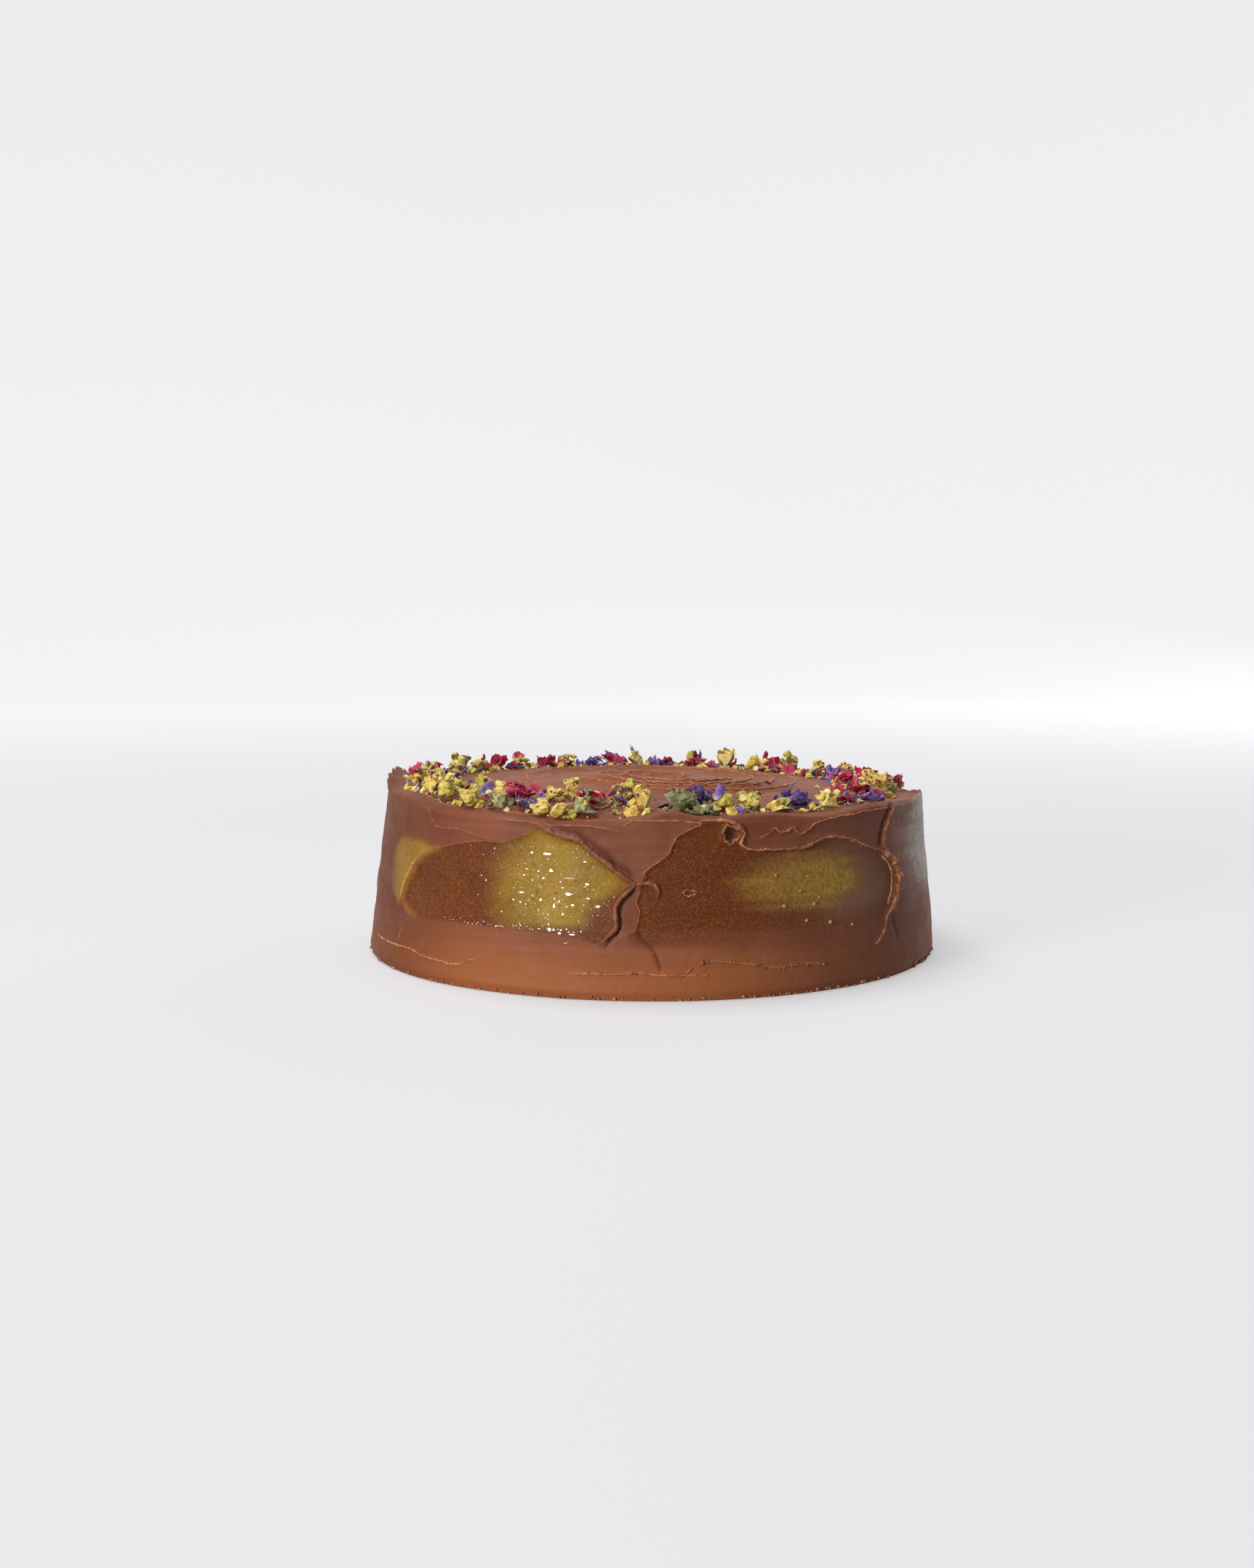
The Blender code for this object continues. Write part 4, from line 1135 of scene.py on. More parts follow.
def new_material(name, **constants):
    """A material with its shader's plain values set, its tree, its shader and the object's coordinates."""
    material = bpy.data.materials.new(name)
    material.use_nodes = True
    tree = material.node_tree
    shader = tree.nodes["Principled BSDF"]
    for label, value in constants.items():
        shader.inputs[label.replace("_", " ")].default_value = value
    return material, tree, shader, node(tree, "TexCoord").outputs["Object"]


def bumped(tree, shader, height, strength, distance):
    bump = node(tree, "Bump", {"Height": height, "Strength": strength, "Distance": distance})
    put(tree, bump.outputs["Normal"], shader.inputs["Normal"])


def frosting_material(effects):
    material, tree, shader, spot = new_material("chocolate_frosting", Specular_IOR_Level=0.16)
    sweep = node(tree, "Attribute", attribute_name="sweep").outputs["Vector"]
    stretched = node(tree, "Mapping", {"Vector": sweep, "Scale": (24.0, 24.0, 700.0)}).outputs["Vector"]
    streaks = noise_of(tree, stretched, 1.0, 4.0, 0.6)
    broad = mottled(tree, effects, spot, 38.0, (118, 65, 44), (134, 77, 55))
    colour = mixed(tree, carried(tree, "pale"), broad, tint(158, 91, 50))
    colour = mixed(tree, ranged(tree, streaks, 0.4, 0.75, 0.0, 0.2), colour, tint(162, 104, 76))
    # A greyer, lighter brown to the right, partly a painted sheen
    colour = mixed(tree, times(tree, carried(tree, "cool_brown_and_sheen"), 0.6), colour, tint(142, 86, 72))
    # Painted shade at the left and along the rim
    colour = mixed(tree, times(tree, carried(tree, "painted_shade"), 0.75), colour, tint(98, 49, 25))
    amber = mottled(tree, effects, spot, 900.0, (92, 41, 4), (116, 57, 10))
    clouds = ranged(tree, noise_of(tree, spot, 95.0, 3.0), 0.35, 0.65)
    amber = mixed(tree, times(tree, clouds, 0.45), amber, tint(88, 38, 16))
    colour = mixed(tree, carried(tree, "amber"), colour, amber)
    colour = mixed(tree, times(tree, carried(tree, "haze"), 0.8), colour, tint(150, 108, 84))
    green = mottled(tree, effects, spot, 1100.0, (136, 102, 4), (176, 138, 26))
    deep = mottled(tree, effects, spot, 70.0, (132, 96, 4), (164, 128, 16))
    green = mixed(tree, 0.5, green, deep)
    colour = mixed(tree, carried(tree, "green"), colour, green)
    olive = mottled(tree, effects, spot, 900.0, (158, 120, 42), (192, 150, 70))
    colour = mixed(tree, carried(tree, "olive"), colour, olive)
    flecks = speckled(tree, effects, spot, 2300.0, 0.45)
    flecks = times(tree, flecks, times(tree, carried(tree, "grain"), 0.75))
    colour = mixed(tree, flecks, colour, tint(208, 152, 92))
    colour = mixed(tree, times(tree, carried(tree, "edge"), 0.75), colour, tint(158, 98, 46))
    # Painted shade in the creases and in the crater's hole
    colour = mixed(tree, carried(tree, "painted_crease_shade"), colour, tint(44, 18, 12))
    # Painted sheen: a pale streaky film on the right, stronger where the surface is seen at a slant
    upright = node(tree, "Mapping", {"Vector": spot, "Scale": (900.0, 900.0, 480.0)}).outputs["Vector"]
    sheen_share = ranged(tree, noise_of(tree, upright, 1.0, 4.0, 0.7), 0.20, 0.68)
    pits = speckled(tree, effects, spot, 480.0, 0.5)
    painted_sheen = carried(tree, "painted_sheen")
    pitted = times(tree, pits, painted_sheen)
    facing = node(tree, "LayerWeight", {"Blend": 0.5}).outputs["Facing"]
    sheen_at_slant = ranged(tree, facing, 0.15, 0.65, 0.28, 0.95)
    sheen_share = times(tree, times(tree, sheen_share, painted_sheen), sheen_at_slant)
    colour = mixed(tree, sheen_share, colour, tint(226, 221, 208))
    # Painted shade in the pits of the painted sheen; the pits are also bumped in below
    colour = mixed(tree, times(tree, pitted, 0.7), colour, tint(70, 42, 36))
    put(tree, colour, shader.inputs["Base Color"])
    uneven = noise_of(tree, spot, 160.0, 2.0)
    rough = ranged(tree, carried(tree, "gloss"), 0.0, 1.0, 0.58, 0.36)
    put(tree, plus(tree, rough, ranged(tree, uneven, 0.3, 0.7, -0.06, 0.06)), shader.inputs["Roughness"])
    fine = grained(tree, effects, spot, 2300.0, 1.2)
    weight = ranged(tree, carried(tree, "grain"), 0.0, 1.0, 0.10, 1.0)
    height = times(tree, fine, weight)
    height = plus(tree, height, times(tree, streaks, 0.35))
    height = sums(tree, "SUBTRACT", height, times(tree, pitted, 1.5))
    bumped(tree, shader, height, 0.6, 0.0002)
    return material


def wet_material():
    return new_material("wet_smear", Base_Color=tint(124, 88, 24), Roughness=0.10, Specular_IOR_Level=0.5)[0]


def edge_material(effects):
    material, tree, shader, spot = new_material("torn_frosting", Roughness=0.5, Specular_IOR_Level=0.25)
    body = mottled(tree, effects, spot, 420.0, (152, 90, 56), (206, 138, 92))
    dull = mottled(tree, effects, spot, 300.0, (114, 63, 44), (134, 79, 58))
    colour = mixed(tree, carried(tree, "bright"), dull, body)
    colour = mixed(tree, carried(tree, "lining"), colour, tint(202, 168, 88))
    put(tree, colour, shader.inputs["Base Color"])
    fine = grained(tree, effects, spot, 1800.0, 0.5)
    bumped(tree, shader, fine, 0.6, 0.0002)
    return material


def nut_material(effects):
    material, tree, shader, spot = new_material("pistachio_nut", Specular_IOR_Level=0.3)
    outer = mottled(tree, effects, spot, 520.0, (200, 156, 62), (246, 216, 120))
    flesh = mottled(tree, effects, spot, 300.0, (226, 204, 104), (252, 240, 168))
    colour = mixed(tree, carried(tree, "flesh"), outer, flesh)
    colour = mixed(tree, carried(tree, "leafy"), colour, tint(148, 166, 42))
    skin = mottled(tree, effects, spot, 500.0, (84, 60, 54), (140, 104, 80))
    patches = noise_of(tree, spot, 430.0, 3.0)
    skinned = plus(tree, patches, times(tree, carried(tree, "skin"), 0.5))
    shown = ranged(tree, skinned, 0.62, 0.70)
    colour = mixed(tree, shown, colour, skin)
    dusty = speckled(tree, effects, spot, 1100.0, 0.6)
    colour = mixed(tree, times(tree, dusty, 0.35), colour, tint(142, 102, 56))
    put(tree, colour, shader.inputs["Base Color"])
    put(tree, ranged(tree, patches, 0.3, 0.7, 0.5, 0.75), shader.inputs["Roughness"])
    fine = grained(tree, effects, spot, 1300.0, 1.0)
    bumped(tree, shader, fine, 0.8, 0.0003)
    return material


def petal_material(effects, name, deep, bright, pale, scale):
    """A dried petal: deep and bright patches, deep veins along it, and pale where it was joined."""
    material, tree, shader, spot = new_material(name, Roughness=0.6, Specular_IOR_Level=0.3)
    body = mottled(tree, effects, spot, scale, deep, bright)
    lines = noise_of(tree, node(tree, "CombineXYZ", {"X": carried(tree, "vein")}).outputs[0], 9.0, 2.0)
    colour = mixed(tree, ranged(tree, lines, 0.45, 0.7, 0.0, 0.35), body, tint(*deep))
    colour = mixed(tree, carried(tree, "pale"), colour, tint(*pale))
    put(tree, colour, shader.inputs["Base Color"])
    height = plus(tree, lines, noise_of(tree, spot, 900.0, 2.0))
    bumped(tree, shader, height, 0.7, 0.0003)
    return material


def herb_material(effects, name, dark, light, dry):
    """Dry green stuff: dull patches with brown specks, and brown where it was joined."""
    material, tree, shader, spot = new_material(name, Roughness=0.8, Specular_IOR_Level=0.2)
    colour = mottled(tree, effects, spot, 420.0, dark, light)
    dusty = speckled(tree, effects, spot, 1400.0, 0.55)
    colour = mixed(tree, times(tree, dusty, 0.6), colour, tint(*dry))
    colour = mixed(tree, carried(tree, "pale"), colour, tint(*dry))
    put(tree, colour, shader.inputs["Base Color"])
    fine = grained(tree, effects, spot, 1500.0, 1.0)
    bumped(tree, shader, fine, 0.9, 0.0003)
    return material


def all_materials():
    effects = {"mottle": mottle_effect(), "specks": specks_effect(), "grain": grain_effect()}
    return {
        "frosting": frosting_material(effects),
        "edge": edge_material(effects),
        "wet": wet_material(),
        "pistachio": nut_material(effects),
        "rose_petal": petal_material(effects, "dried_rose", (146, 20, 50), (224, 74, 116),
                                     (242, 212, 176), 300.0),
        "cornflower": petal_material(effects, "dried_cornflower", (68, 44, 108), (152, 122, 192),
                                     (212, 198, 228), 320.0),
        "bud": herb_material(effects, "dried_bud", (146, 146, 90), (202, 198, 144), (150, 112, 66)),
        "leaf": herb_material(effects, "dried_leaf", (102, 110, 74), (166, 170, 126), (146, 122, 84)),
    }


# Toppings

def lump_shape(place, size, seed, cuts, detail, fine, deepest=0.2):
    """A broken lump with flat cut faces: its points, faces, and how freshly each point was cut."""
    draw = random.Random(seed)
    work = bmesh.new()
    bmesh.ops.create_icosphere(work, subdivisions=detail, radius=0.5)
    planes = []
    for _ in range(cuts):
        heading = Vector((draw.uniform(-1, 1), draw.uniform(-1, 1), draw.uniform(-0.7, 1))).normalized()
        planes.append((heading, draw.uniform(deepest, 0.38)))
    turn = Matrix.Rotation(draw.uniform(0, math.tau), 3, "Z")
    points, cut = [], []
    for vertex in work.verts:
        spot = vertex.co.copy()
        spot *= 1.0 + 0.30 * noise.noise(spot * 3.1 + Vector((seed * 1.7, 0.0, 0.0)))
        depth = 0.0
        for number, (heading, reach) in enumerate(planes):
            over = spot.dot(heading) - reach
            if over > 0:
                spot -= heading * over * 0.95
                depth = max(depth, over if number < 2 else 0.0)
        dents = noise.noise(spot * 9.0 + Vector((0.0, seed, 0.0))) + 0.6 * noise.noise(spot * 21.0)
        spot *= 1.0 + fine * dents * (1.6 if depth > 0 else 1.0)
        cut.append(min(1.0, depth * 14.0))
        points.append(turn @ Vector((spot.x * size[0], spot.y * size[1], spot.z * size[2])) * MM + place)
    faces = [tuple(vertex.index for vertex in face.verts) for face in work.faces]
    work.free()
    return points, faces, cut


def into_box(points, low, high):
    """Move and stretch points so that they fill a box."""
    cloud = np.array([tuple(spot) for spot in points])
    own_low, own_high = cloud.min(0), cloud.max(0)
    low, high = np.array(low), np.array(high)
    scale = (high - low) / np.maximum(own_high - own_low, 1e-9)
    return (cloud - own_low) * scale + low


def stand_in(name, points, faces, attributes, material, slot, box):
    """A detailed shape that fills a solid's box and stands for it."""
    piece = make_object(f"{name}_detail", into_box(points, *box), faces, attributes, material)
    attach(piece, "root")
    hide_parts(name)
    return piece


def pistachio(name, size, seed, material):
    points, faces, cut = lump_shape(Vector(), size, seed, cuts=6, detail=5, fine=0.05)
    draw = random.Random(seed + 500)
    skin = draw.choice((0.0, 0.0, 0.1, 0.35))
    leafy = draw.choice((0.0, 0.1, 0.3, 0.55))
    greens = [leafy * (0.4 + 0.6 * max(0.0, noise.noise(spot * 260.0 + Vector((seed, 0, 0))) * 2.0))
              for spot in points]
    numbers = {"flesh": cut, "skin": [skin] * len(points), "leafy": greens}
    return stand_in(name, points, faces, numbers, material, "pistachio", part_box(name))


def thickened(points, columns, rows, thickness):
    """A sheet of points, row by row, as a closed thin shape: both its skins and its edge."""
    grid = np.array([tuple(spot) for spot in points]).reshape(rows, columns, 3)
    across, along = np.gradient(grid, axis=1), np.gradient(grid, axis=0)
    normal = np.cross(across, along)
    normal /= np.maximum(np.linalg.norm(normal, axis=2, keepdims=True), 1e-12)
    half = normal * thickness / 2
    skins = np.concatenate([(grid + half).reshape(-1, 3), (grid - half).reshape(-1, 3)])
    count = rows * columns
    faces = []
    for i in range(rows - 1):
        for j in range(columns - 1):
            a, b = i * columns + j, i * columns + j + 1
            c, d = a + columns, b + columns
            faces.append((a, b, d, c))
            faces.append((count + a, count + c, count + d, count + b))
    rim = list(range(columns)) + [i * columns + columns - 1 for i in range(1, rows)]
    rim += [(rows - 1) * columns + j for j in range(columns - 2, -1, -1)]
    rim += [i * columns for i in range(rows - 2, 0, -1)]
    for a, b in zip(rim, rim[1:] + rim[:1]):
        faces.append((a, count + a, count + b, b))
    return skins, faces


def arc(curve, reach):
    """How far on and how far up a strip of length 1 goes at a reach along it, bent by an angle in all."""
    if abs(curve) <= 0.05:
        return reach, 0.0
    return math.sin(curve * reach) / curve, (1.0 - math.cos(curve * reach)) / curve


def dried_sheet(length, width, curl, cup, crumple, seed, rows=20, columns=13, tip=1.3, notch=0.0, foot=0.26):
    """A dried petal as a sheet: narrow at its foot, cupped and curled, crumpled and torn at its end."""
    points, pale, vein = [], [], []
    for i in range(rows):
        along = i / (rows - 1)
        for j in range(columns):
            side = 2.0 * j / (columns - 1) - 1.0
            breadth = foot + (1.0 - foot) * math.sin(math.pi * min(1.0, 0.08 + 0.86 * along) ** tip) ** 0.7
            rag = 1.0 - 0.10 * abs(noise.noise(Vector((2.4 * side, seed, 3.0 * along)))) * along
            reach = along * (1.0 - notch * abs(math.sin(math.pi * 1.5 * (side + 1.0))) * along * along) * rag
            on, up = arc(curl, reach)
            aside, raised = arc(cup, side)
            out, x = length * on, breadth * width / 2 * aside
            lift = length * up + breadth * width / 2 * raised
            fold = Vector((out * 0.32, x * 0.38, seed * 3.1))
            ruffle = crumple * (noise.noise(fold) + 0.6 * noise.noise(fold * 2.3) * (0.3 + abs(side)))
            points.append(Vector((x + 0.5 * ruffle * noise.noise(fold * 1.7), out, lift + ruffle)))
            pale.append(max(0.0, 1.0 - 2.6 * along) ** 1.3)
            vein.append(3.0 * side + seed)
    return points, pale, vein, rows, columns


class Cluster:
    """Gathers thin sheets and lumps in one topping, in millimetres."""

    def __init__(self):
        self.pile = Pile("pale", "vein")

    def sheet(self, sheet, turn, shift, thickness=0.22):
        points, pale, vein, rows, columns = sheet
        placed = [turn @ spot + shift for spot in points]
        skins, faces = thickened(placed, columns, rows, thickness)
        self.pile.add(skins, faces, pale=pale * 2, vein=vein * 2)

    def stalk(self, points, thick, sides=5, pale=0.0):
        """A thin round stalk through points."""
        line = smooth_line(points, 0.6)
        cloud = []
        for i, spot in enumerate(line):
            ahead = (line[min(i + 1, len(line) - 1)] - line[max(i - 1, 0)]).normalized()
            side = ahead.orthogonal().normalized()
            other = ahead.cross(side)
            half = thick / 2 * (1.0 - 0.5 * i / len(line))
            for k in range(sides):
                turn = math.tau * k / sides
                cloud.append(spot + (side * math.cos(turn) + other * math.sin(turn)) * half)
        self.pile.add(cloud, tube_faces(len(line), sides) + tube_ends(len(line), sides), pale=pale)

    def parts(self):
        return self.pile.points, self.pile.faces, self.pile.numbers


def turned(z=0.0, x=0.0, y=0.0):
    return Matrix.Rotation(z, 3, "Z") @ Matrix.Rotation(x, 3, "X") @ Matrix.Rotation(y, 3, "Y")


def rose(name, size, seed, material):
    """Two or three crumpled rose petals that lie in each other."""
    draw = random.Random(seed + 900)
    cluster = Cluster()
    for number in range(3):
        length, width = size[0] * draw.uniform(0.75, 1.0), size[1] * draw.uniform(1.0, 1.35)
        if number:
            length, width = length * 0.7, width * 0.75
        sheet = dried_sheet(length, width, draw.uniform(0.3, 1.3), draw.uniform(0.5, 1.3), size[2] * 0.2,
                            seed + 7.3 * number, tip=1.0, foot=0.5)
        lean = draw.uniform(0.7, 1.1) if number == 1 else draw.uniform(-0.2, 0.4)
        turn = turned(draw.uniform(0, math.tau), lean, draw.uniform(-0.5, 0.5))
        shift = turn @ Vector((0.0, -length * 0.45, 0.0))
        shift += Vector((draw.uniform(-1, 1), draw.uniform(-1, 1), number * 0.8))
        cluster.sheet(sheet, turn, shift)
    return stand_in(name, *cluster.parts(), material, "rose_petal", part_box(name))


def cornflower(name, size, seed, material):
    """A crushed cornflower: narrow trumpets with torn ends, spread round a tuft."""
    draw = random.Random(seed + 300)
    cluster = Cluster()
    florets = 8
    for number in range(florets):
        heading = math.tau * number / florets + draw.uniform(-0.3, 0.3)
        length = max(size[:2]) * 0.5 * draw.uniform(0.7, 1.05)
        sheet = dried_sheet(length, length, draw.uniform(-0.3, 1.3), draw.uniform(0.5, 1.4), size[2] * 0.22,
                            seed + 3.1 * number, rows=14, columns=11, tip=1.2, notch=0.18, foot=0.35)
        turn = turned(heading, draw.uniform(0.0, 0.8), draw.uniform(-0.5, 0.5))
        cluster.sheet(sheet, turn, Vector((0.0, 0.0, draw.uniform(0.0, size[2] * 0.25))))
    for number in range(4):
        heading = draw.uniform(0, math.tau)
        tip = Vector((math.cos(heading) * 1.6, math.sin(heading) * 1.6, size[2] * draw.uniform(0.3, 0.5)))
        cluster.stalk([(0.0, 0.0, 0.3), tuple(tip * 0.6 + Vector((0.2, 0.1, 0.2))), tuple(tip)], 0.28)
    return stand_in(name, *cluster.parts(), material, "cornflower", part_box(name))


def bud(name, size, seed, material):
    """A dried bud: a rounded lump of overlapping scales with torn tips."""
    cluster = Cluster()
    draw = random.Random(seed + 200)
    core = [0.86 * reach for reach in size]
    points, faces, _ = lump_shape(Vector(), core, seed, cuts=0, detail=4, fine=0.10)
    cluster.pile.add([spot / MM for spot in points], faces)
    for ring, (count, lift, lean) in enumerate(((5, -0.05, 0.9), (5, 0.22, 0.5))):
        for number in range(count):
            heading = math.tau * (number + 0.5 * ring) / count + draw.uniform(-0.15, 0.15)
            sheet = dried_sheet(size[2] * 0.5, size[0] * 0.42, 0.9, 1.0, 0.6, seed + number + 9 * ring,
                                rows=10, columns=7)
            turn = turned(heading, lean + draw.uniform(-0.2, 0.2), draw.uniform(-0.25, 0.25))
            shift = turned(heading) @ Vector((0.0, size[0] * (0.34 - 0.14 * ring), 0.0))
            shift += Vector((0.0, 0.0, lift * size[2]))
            cluster.sheet(sheet, turn, shift, 0.3)
    return stand_in(name, *cluster.parts(), material, "bud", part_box(name))


def leaf(name, size, seed, material):
    """A sprig of crumpled leaves."""
    cluster = Cluster()
    draw = random.Random(seed + 100)
    for number in range(7):
        heading = math.tau * number / 7 + draw.uniform(-0.3, 0.3)
        length = size[0] * draw.uniform(0.42, 0.6)
        sheet = dried_sheet(length, length * 0.62, draw.uniform(-0.2, 1.3), draw.uniform(0.6, 1.4), 0.7,
                            seed + number, rows=16, columns=11, notch=0.12)
        cluster.sheet(sheet, turned(heading, draw.uniform(0.1, 0.9), draw.uniform(-0.5, 0.5)),
                      Vector((0.0, 0.0, draw.uniform(0.0, 1.5))))
    return stand_in(name, *cluster.parts(), material, "leaf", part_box(name))


def wreath_pieces():
    """Every large topping as its name's stem, number, place and size."""
    for stem, pieces in (("pistachio", PISTACHIOS), ("rose_petal", ROSE_PETALS), ("cornflower", CORNFLOWERS),
                         ("bud", BUDS), ("leaf", LEAVES)):
        for number, (across, back, *size) in enumerate(pieces, 1):
            yield stem, number, across, back, size


def wreath(materials):
    makers = {"pistachio": pistachio, "rose_petal": rose, "cornflower": cornflower, "bud": bud, "leaf": leaf}
    return [makers[stem](f"{stem}_{number:02d}", size, 10 * number + len(stem), materials[stem])
            for stem, number, _, _, size in wreath_pieces()]


def chip_places():
    """Where the chips fused to the solid lie, and their sizes."""
    draw = random.Random(5)
    taken = [(across, back, max(size[:2]) / 2) for _, _, across, back, size in wreath_pieces()]
    chips = []
    while len(chips) < CHIPS:
        angle = draw.uniform(-180, 180)
        radius = CHIP_INNER + (CHIP_OUTER - CHIP_INNER) * draw.random() ** 0.6
        size = draw.uniform(CHIP_SMALLEST, CHIP_LARGEST)
        spot = around(radius, angle, 0.0) / MM
        room = size / 2 + CHIP_CLEARANCE
        if any(math.hypot(spot.x - x, spot.y - y) < reach + room for x, y, reach in taken):
            continue
        taken.append((spot.x, spot.y, size / 2))
        chips.append((spot.x, spot.y, size))
    return chips


def near_wreath(draw, spread, kinds=PISTACHIOS + ROSE_PETALS + CORNFLOWERS):
    """A place near one of the large toppings, so that small pieces lie in drifts as the large ones do."""
    across, back = kinds[draw.randrange(len(kinds))][:2]
    x, y = across + draw.gauss(0.0, spread), back + draw.gauss(0.0, spread)
    radius = math.hypot(x, y)
    limit = min(max(radius, WREATH_INNER), WREATH_OUTER + WREATH_EDGE * draw.random())
    return x * limit / radius, y * limit / radius


def far_wreath(draw):
    """A place on the sides and the far half, where the wreath has no gaps."""
    radius = min(draw.gauss(FAR_RADIUS, FAR_SPREAD), FAR_LIMIT)
    spot = around(radius, draw.uniform(FAR_START, FAR_END), 0.0) / MM
    return spot.x, spot.y


def nut_chips(tree, material):
    """Chips of nut, from the fused ones down to grit, as one piece."""
    pile = Pile("flesh", "skin", "leafy")
    draw = random.Random(21)
    pieces = [(x, y, size, number) for number, (x, y, size) in enumerate(chip_places())]
    for number in range(STREWN_CHIPS):
        x, y = near_wreath(draw, 4.2, PISTACHIOS) if number % 5 else near_wreath(draw, 5.5)
        pieces.append((x, y, 1.6 + 4.2 * draw.random() ** 1.2, number + 40))
    for number in range(FAR_CHIPS):
        pieces.append((*far_wreath(draw), draw.uniform(2.2, 5.2), number + 600))
    for x, y, size, number in pieces:
        place, out = top_spot(tree, x, y)
        middle = place + out * size * 0.18 * MM
        points, faces, cut = lump_shape(middle, (size, size * 0.8, size * 0.7), number, cuts=6, detail=3,
                                        fine=0.09, deepest=0.12)
        skin = draw.choice((0.0, 0.0, 0.1, 0.3))
        pile.add(points, faces, flesh=cut, skin=skin, leafy=draw.choice((0.0, 0.2, 0.5)))
    for number in range(GRIT):
        x, y = near_wreath(draw, 5.5, PISTACHIOS) if number % 4 else near_wreath(draw, 6.5)
        place, out = top_spot(tree, x, y)
        size = draw.uniform(0.3, 1.0)
        crumb(pile, place, out, size, number, flesh=draw.random(), skin=draw.choice((0.0, 0.4)))
    return pile.make("nut_chips", material, "pistachio", smooth=False)


def petal_bits(tree, name, slot, material, count, longest, seed, notch, kinds):
    """Torn bits of petal strewn between the large toppings, as one piece."""
    pile = Pile("pale", "vein")
    draw = random.Random(seed)
    for number in range(count):
        x, y = near_wreath(draw, 4.5, kinds) if number % 4 else near_wreath(draw, 5.5)
        if number % 5 == 4 and longest > FAR_BITS_FROM:
            x, y = far_wreath(draw)
        place, out = top_spot(tree, x, y)
        length = draw.uniform(1.8, longest)
        points, pale, vein, rows, columns = dried_sheet(
            length, length * draw.uniform(0.4, 0.95), draw.uniform(-0.8, 1.4), draw.uniform(0.3, 1.3), 0.35,
            seed + number, rows=9, columns=6, notch=notch)
        turn = turned(draw.uniform(0, math.tau), draw.uniform(-0.1, 0.8), draw.uniform(-0.7, 0.7))
        middle = Vector((0.0, length / 2, 0.0))
        placed = [place + (turn @ (spot - middle) + out * 0.7) * MM for spot in points]
        skins, faces = thickened(placed, columns, rows, 0.2 * MM)
        pile.add(skins, faces, pale=pale * 2, vein=vein * 2)
    return pile.make(name, material, slot)


# The stalk of the sprig of leaves, from its foot in the frosting up
STALK = ((0.6, 0.0, -1.5), (0.2, 0.2, 1.5), (-1.4, 0.2, 4.0), (-2.2, -0.4, 7.2), (-1.9, -0.5, 8.4))


def leaf_stalk(tree, material):
    """The thin bent stalk that stands up from the sprig of leaves."""
    cluster = Cluster()
    place, _ = top_spot(tree, 7.6, -86.0)
    foot = place / MM
    cluster.stalk([tuple(foot + Vector(shift)) for shift in STALK], 0.8, sides=7)
    pile = Pile("pale", "vein")
    pile.add([Vector(spot) * MM for spot in cluster.pile.points], cluster.pile.faces, pale=0.15)
    return pile.make("leaf_stalk", material, "leaf")


# Stage

FLOOR_RADIUS, WALL_BEND, WALL_TOP, FLOOR_DROP = 2.0, 0.9, 4.0, 0.0002
FLOOR_SIDES = 96
CAMERA_PLACE, CAMERA_TILT = (-0.00914, -0.674, 0.1262), 84.46
LENS_LENGTH, SENSOR_WIDTH = 40.79, 36.0
LIGHT_AIM = (0.0, 0.0, 0.03)


def backdrop():
    """A pale round floor that curves up into a wall on all sides, and glows more the farther it lies from the
    middle.
    """
    material, tree, shader, spot = new_material(
        "studio_paper", Base_Color=(0.42, 0.42, 0.43, 1.0), Roughness=0.95, Specular_IOR_Level=0.1,
        Emission_Strength=1.0)
    away = node(tree, "VectorMath", {"Vector": spot}, operation="LENGTH").outputs["Value"]
    glow = mixed(tree, ranged(tree, away, 0.3, 1.9), (0.38, 0.375, 0.385, 1.0), (0.72, 0.71, 0.71, 1.0))
    put(tree, glow, shader.inputs["Emission Color"])
    section = [(FLOOR_RADIUS / 2, 0.0), (FLOOR_RADIUS, 0.0)]
    section += [(FLOOR_RADIUS + WALL_BEND * math.sin(turn), WALL_BEND - WALL_BEND * math.cos(turn))
                for turn in np.linspace(0.1, math.pi / 2, 14)]
    section += [(FLOOR_RADIUS + WALL_BEND, WALL_TOP)]
    points = []
    for reach, height in section:
        for k in range(FLOOR_SIDES):
            turn = math.tau * k / FLOOR_SIDES
            points.append((reach * math.sin(turn), reach * math.cos(turn), height - FLOOR_DROP))
    faces = [tuple(range(FLOOR_SIDES))[::-1]] + tube_faces(len(section), FLOOR_SIDES)
    paper = make_object("studio_paper", points, faces, {}, material)
    paper.visible_diffuse = False


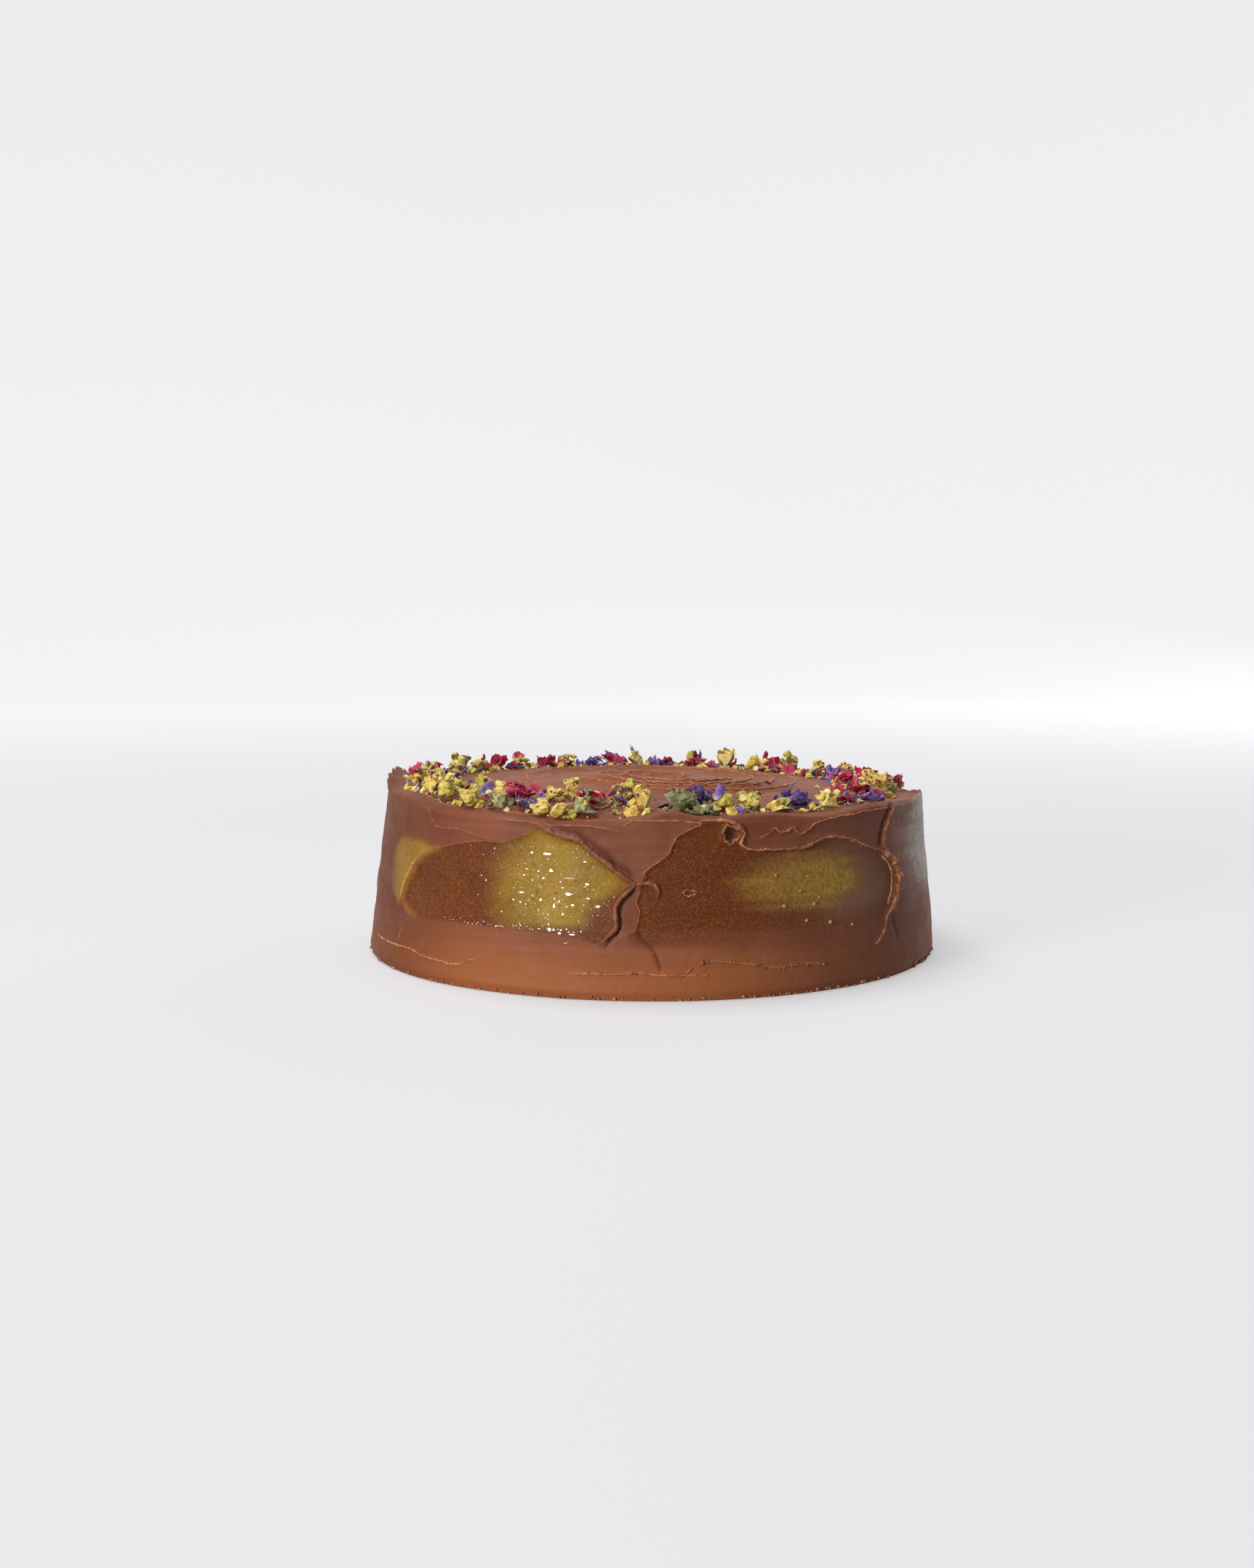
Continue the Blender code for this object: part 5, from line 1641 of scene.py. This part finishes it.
def area_light(name, place, aim, width, height, power, colour=(1.0, 1.0, 1.0)):
    light = bpy.data.lights.new(name, "AREA")
    light.shape = "RECTANGLE"
    light.size, light.size_y = width, height
    light.energy = power
    light.color = colour
    lamp = bpy.data.objects.new(name, light)
    lamp.location = place
    lamp.rotation_euler = (Vector(aim) - Vector(place)).to_track_quat("-Z", "Y").to_euler()
    bpy.context.scene.collection.objects.link(lamp)


def studio():
    world = bpy.data.worlds.new("studio_light")
    world.use_nodes = True
    background = world.node_tree.nodes["Background"]
    background.inputs["Color"].default_value = (0.97, 0.97, 1.0, 1.0)
    background.inputs["Strength"].default_value = 0.19
    bpy.context.scene.world = world
    area_light("window_left", (-1.08, -1.38, 0.31), LIGHT_AIM, 0.5, 0.45, 23.0, (1.0, 0.98, 0.95))
    area_light("card_back", (1.3, 1.6, 0.8), LIGHT_AIM, 1.2, 1.0, 7.0)
    area_light("overhead", (-0.25, 0.1, 1.7), (0.0, 0.0, 0.0), 1.1, 1.1, 22.0, (1.0, 0.99, 0.98))
    bpy.context.scene.view_settings.view_transform = "Standard"


def camera():
    lens = bpy.data.cameras.new("camera")
    lens.sensor_width = SENSOR_WIDTH
    lens.lens = LENS_LENGTH
    lens.clip_start = 0.01
    viewer = bpy.data.objects.new("camera", lens)
    viewer.location = CAMERA_PLACE
    viewer.rotation_euler = (math.radians(CAMERA_TILT), 0.0, 0.0)
    bpy.context.scene.collection.objects.link(viewer)
    bpy.context.scene.camera = viewer


def main():
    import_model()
    camera()
    studio()
    backdrop()
    materials = all_materials()
    places, faces, fields = frosting_mesh()
    frosting = make_object("frosting_skin", places, faces, fields, materials["frosting"])
    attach(frosting, "root")
    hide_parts("cake")
    skin = tree_of([frosting])
    torn_edges(skin, materials["edge"])
    wet_places(skin, materials["wet"])
    foot_crumbs(skin, materials["edge"])
    large = wreath(materials)
    laid = tree_of([frosting, *large])
    nut_chips(laid, materials["pistachio"])
    for name, kind, *numbers in BITS:
        petal_bits(laid, name, kind, materials[kind], *numbers)
    leaf_stalk(laid, materials["leaf"])


main()
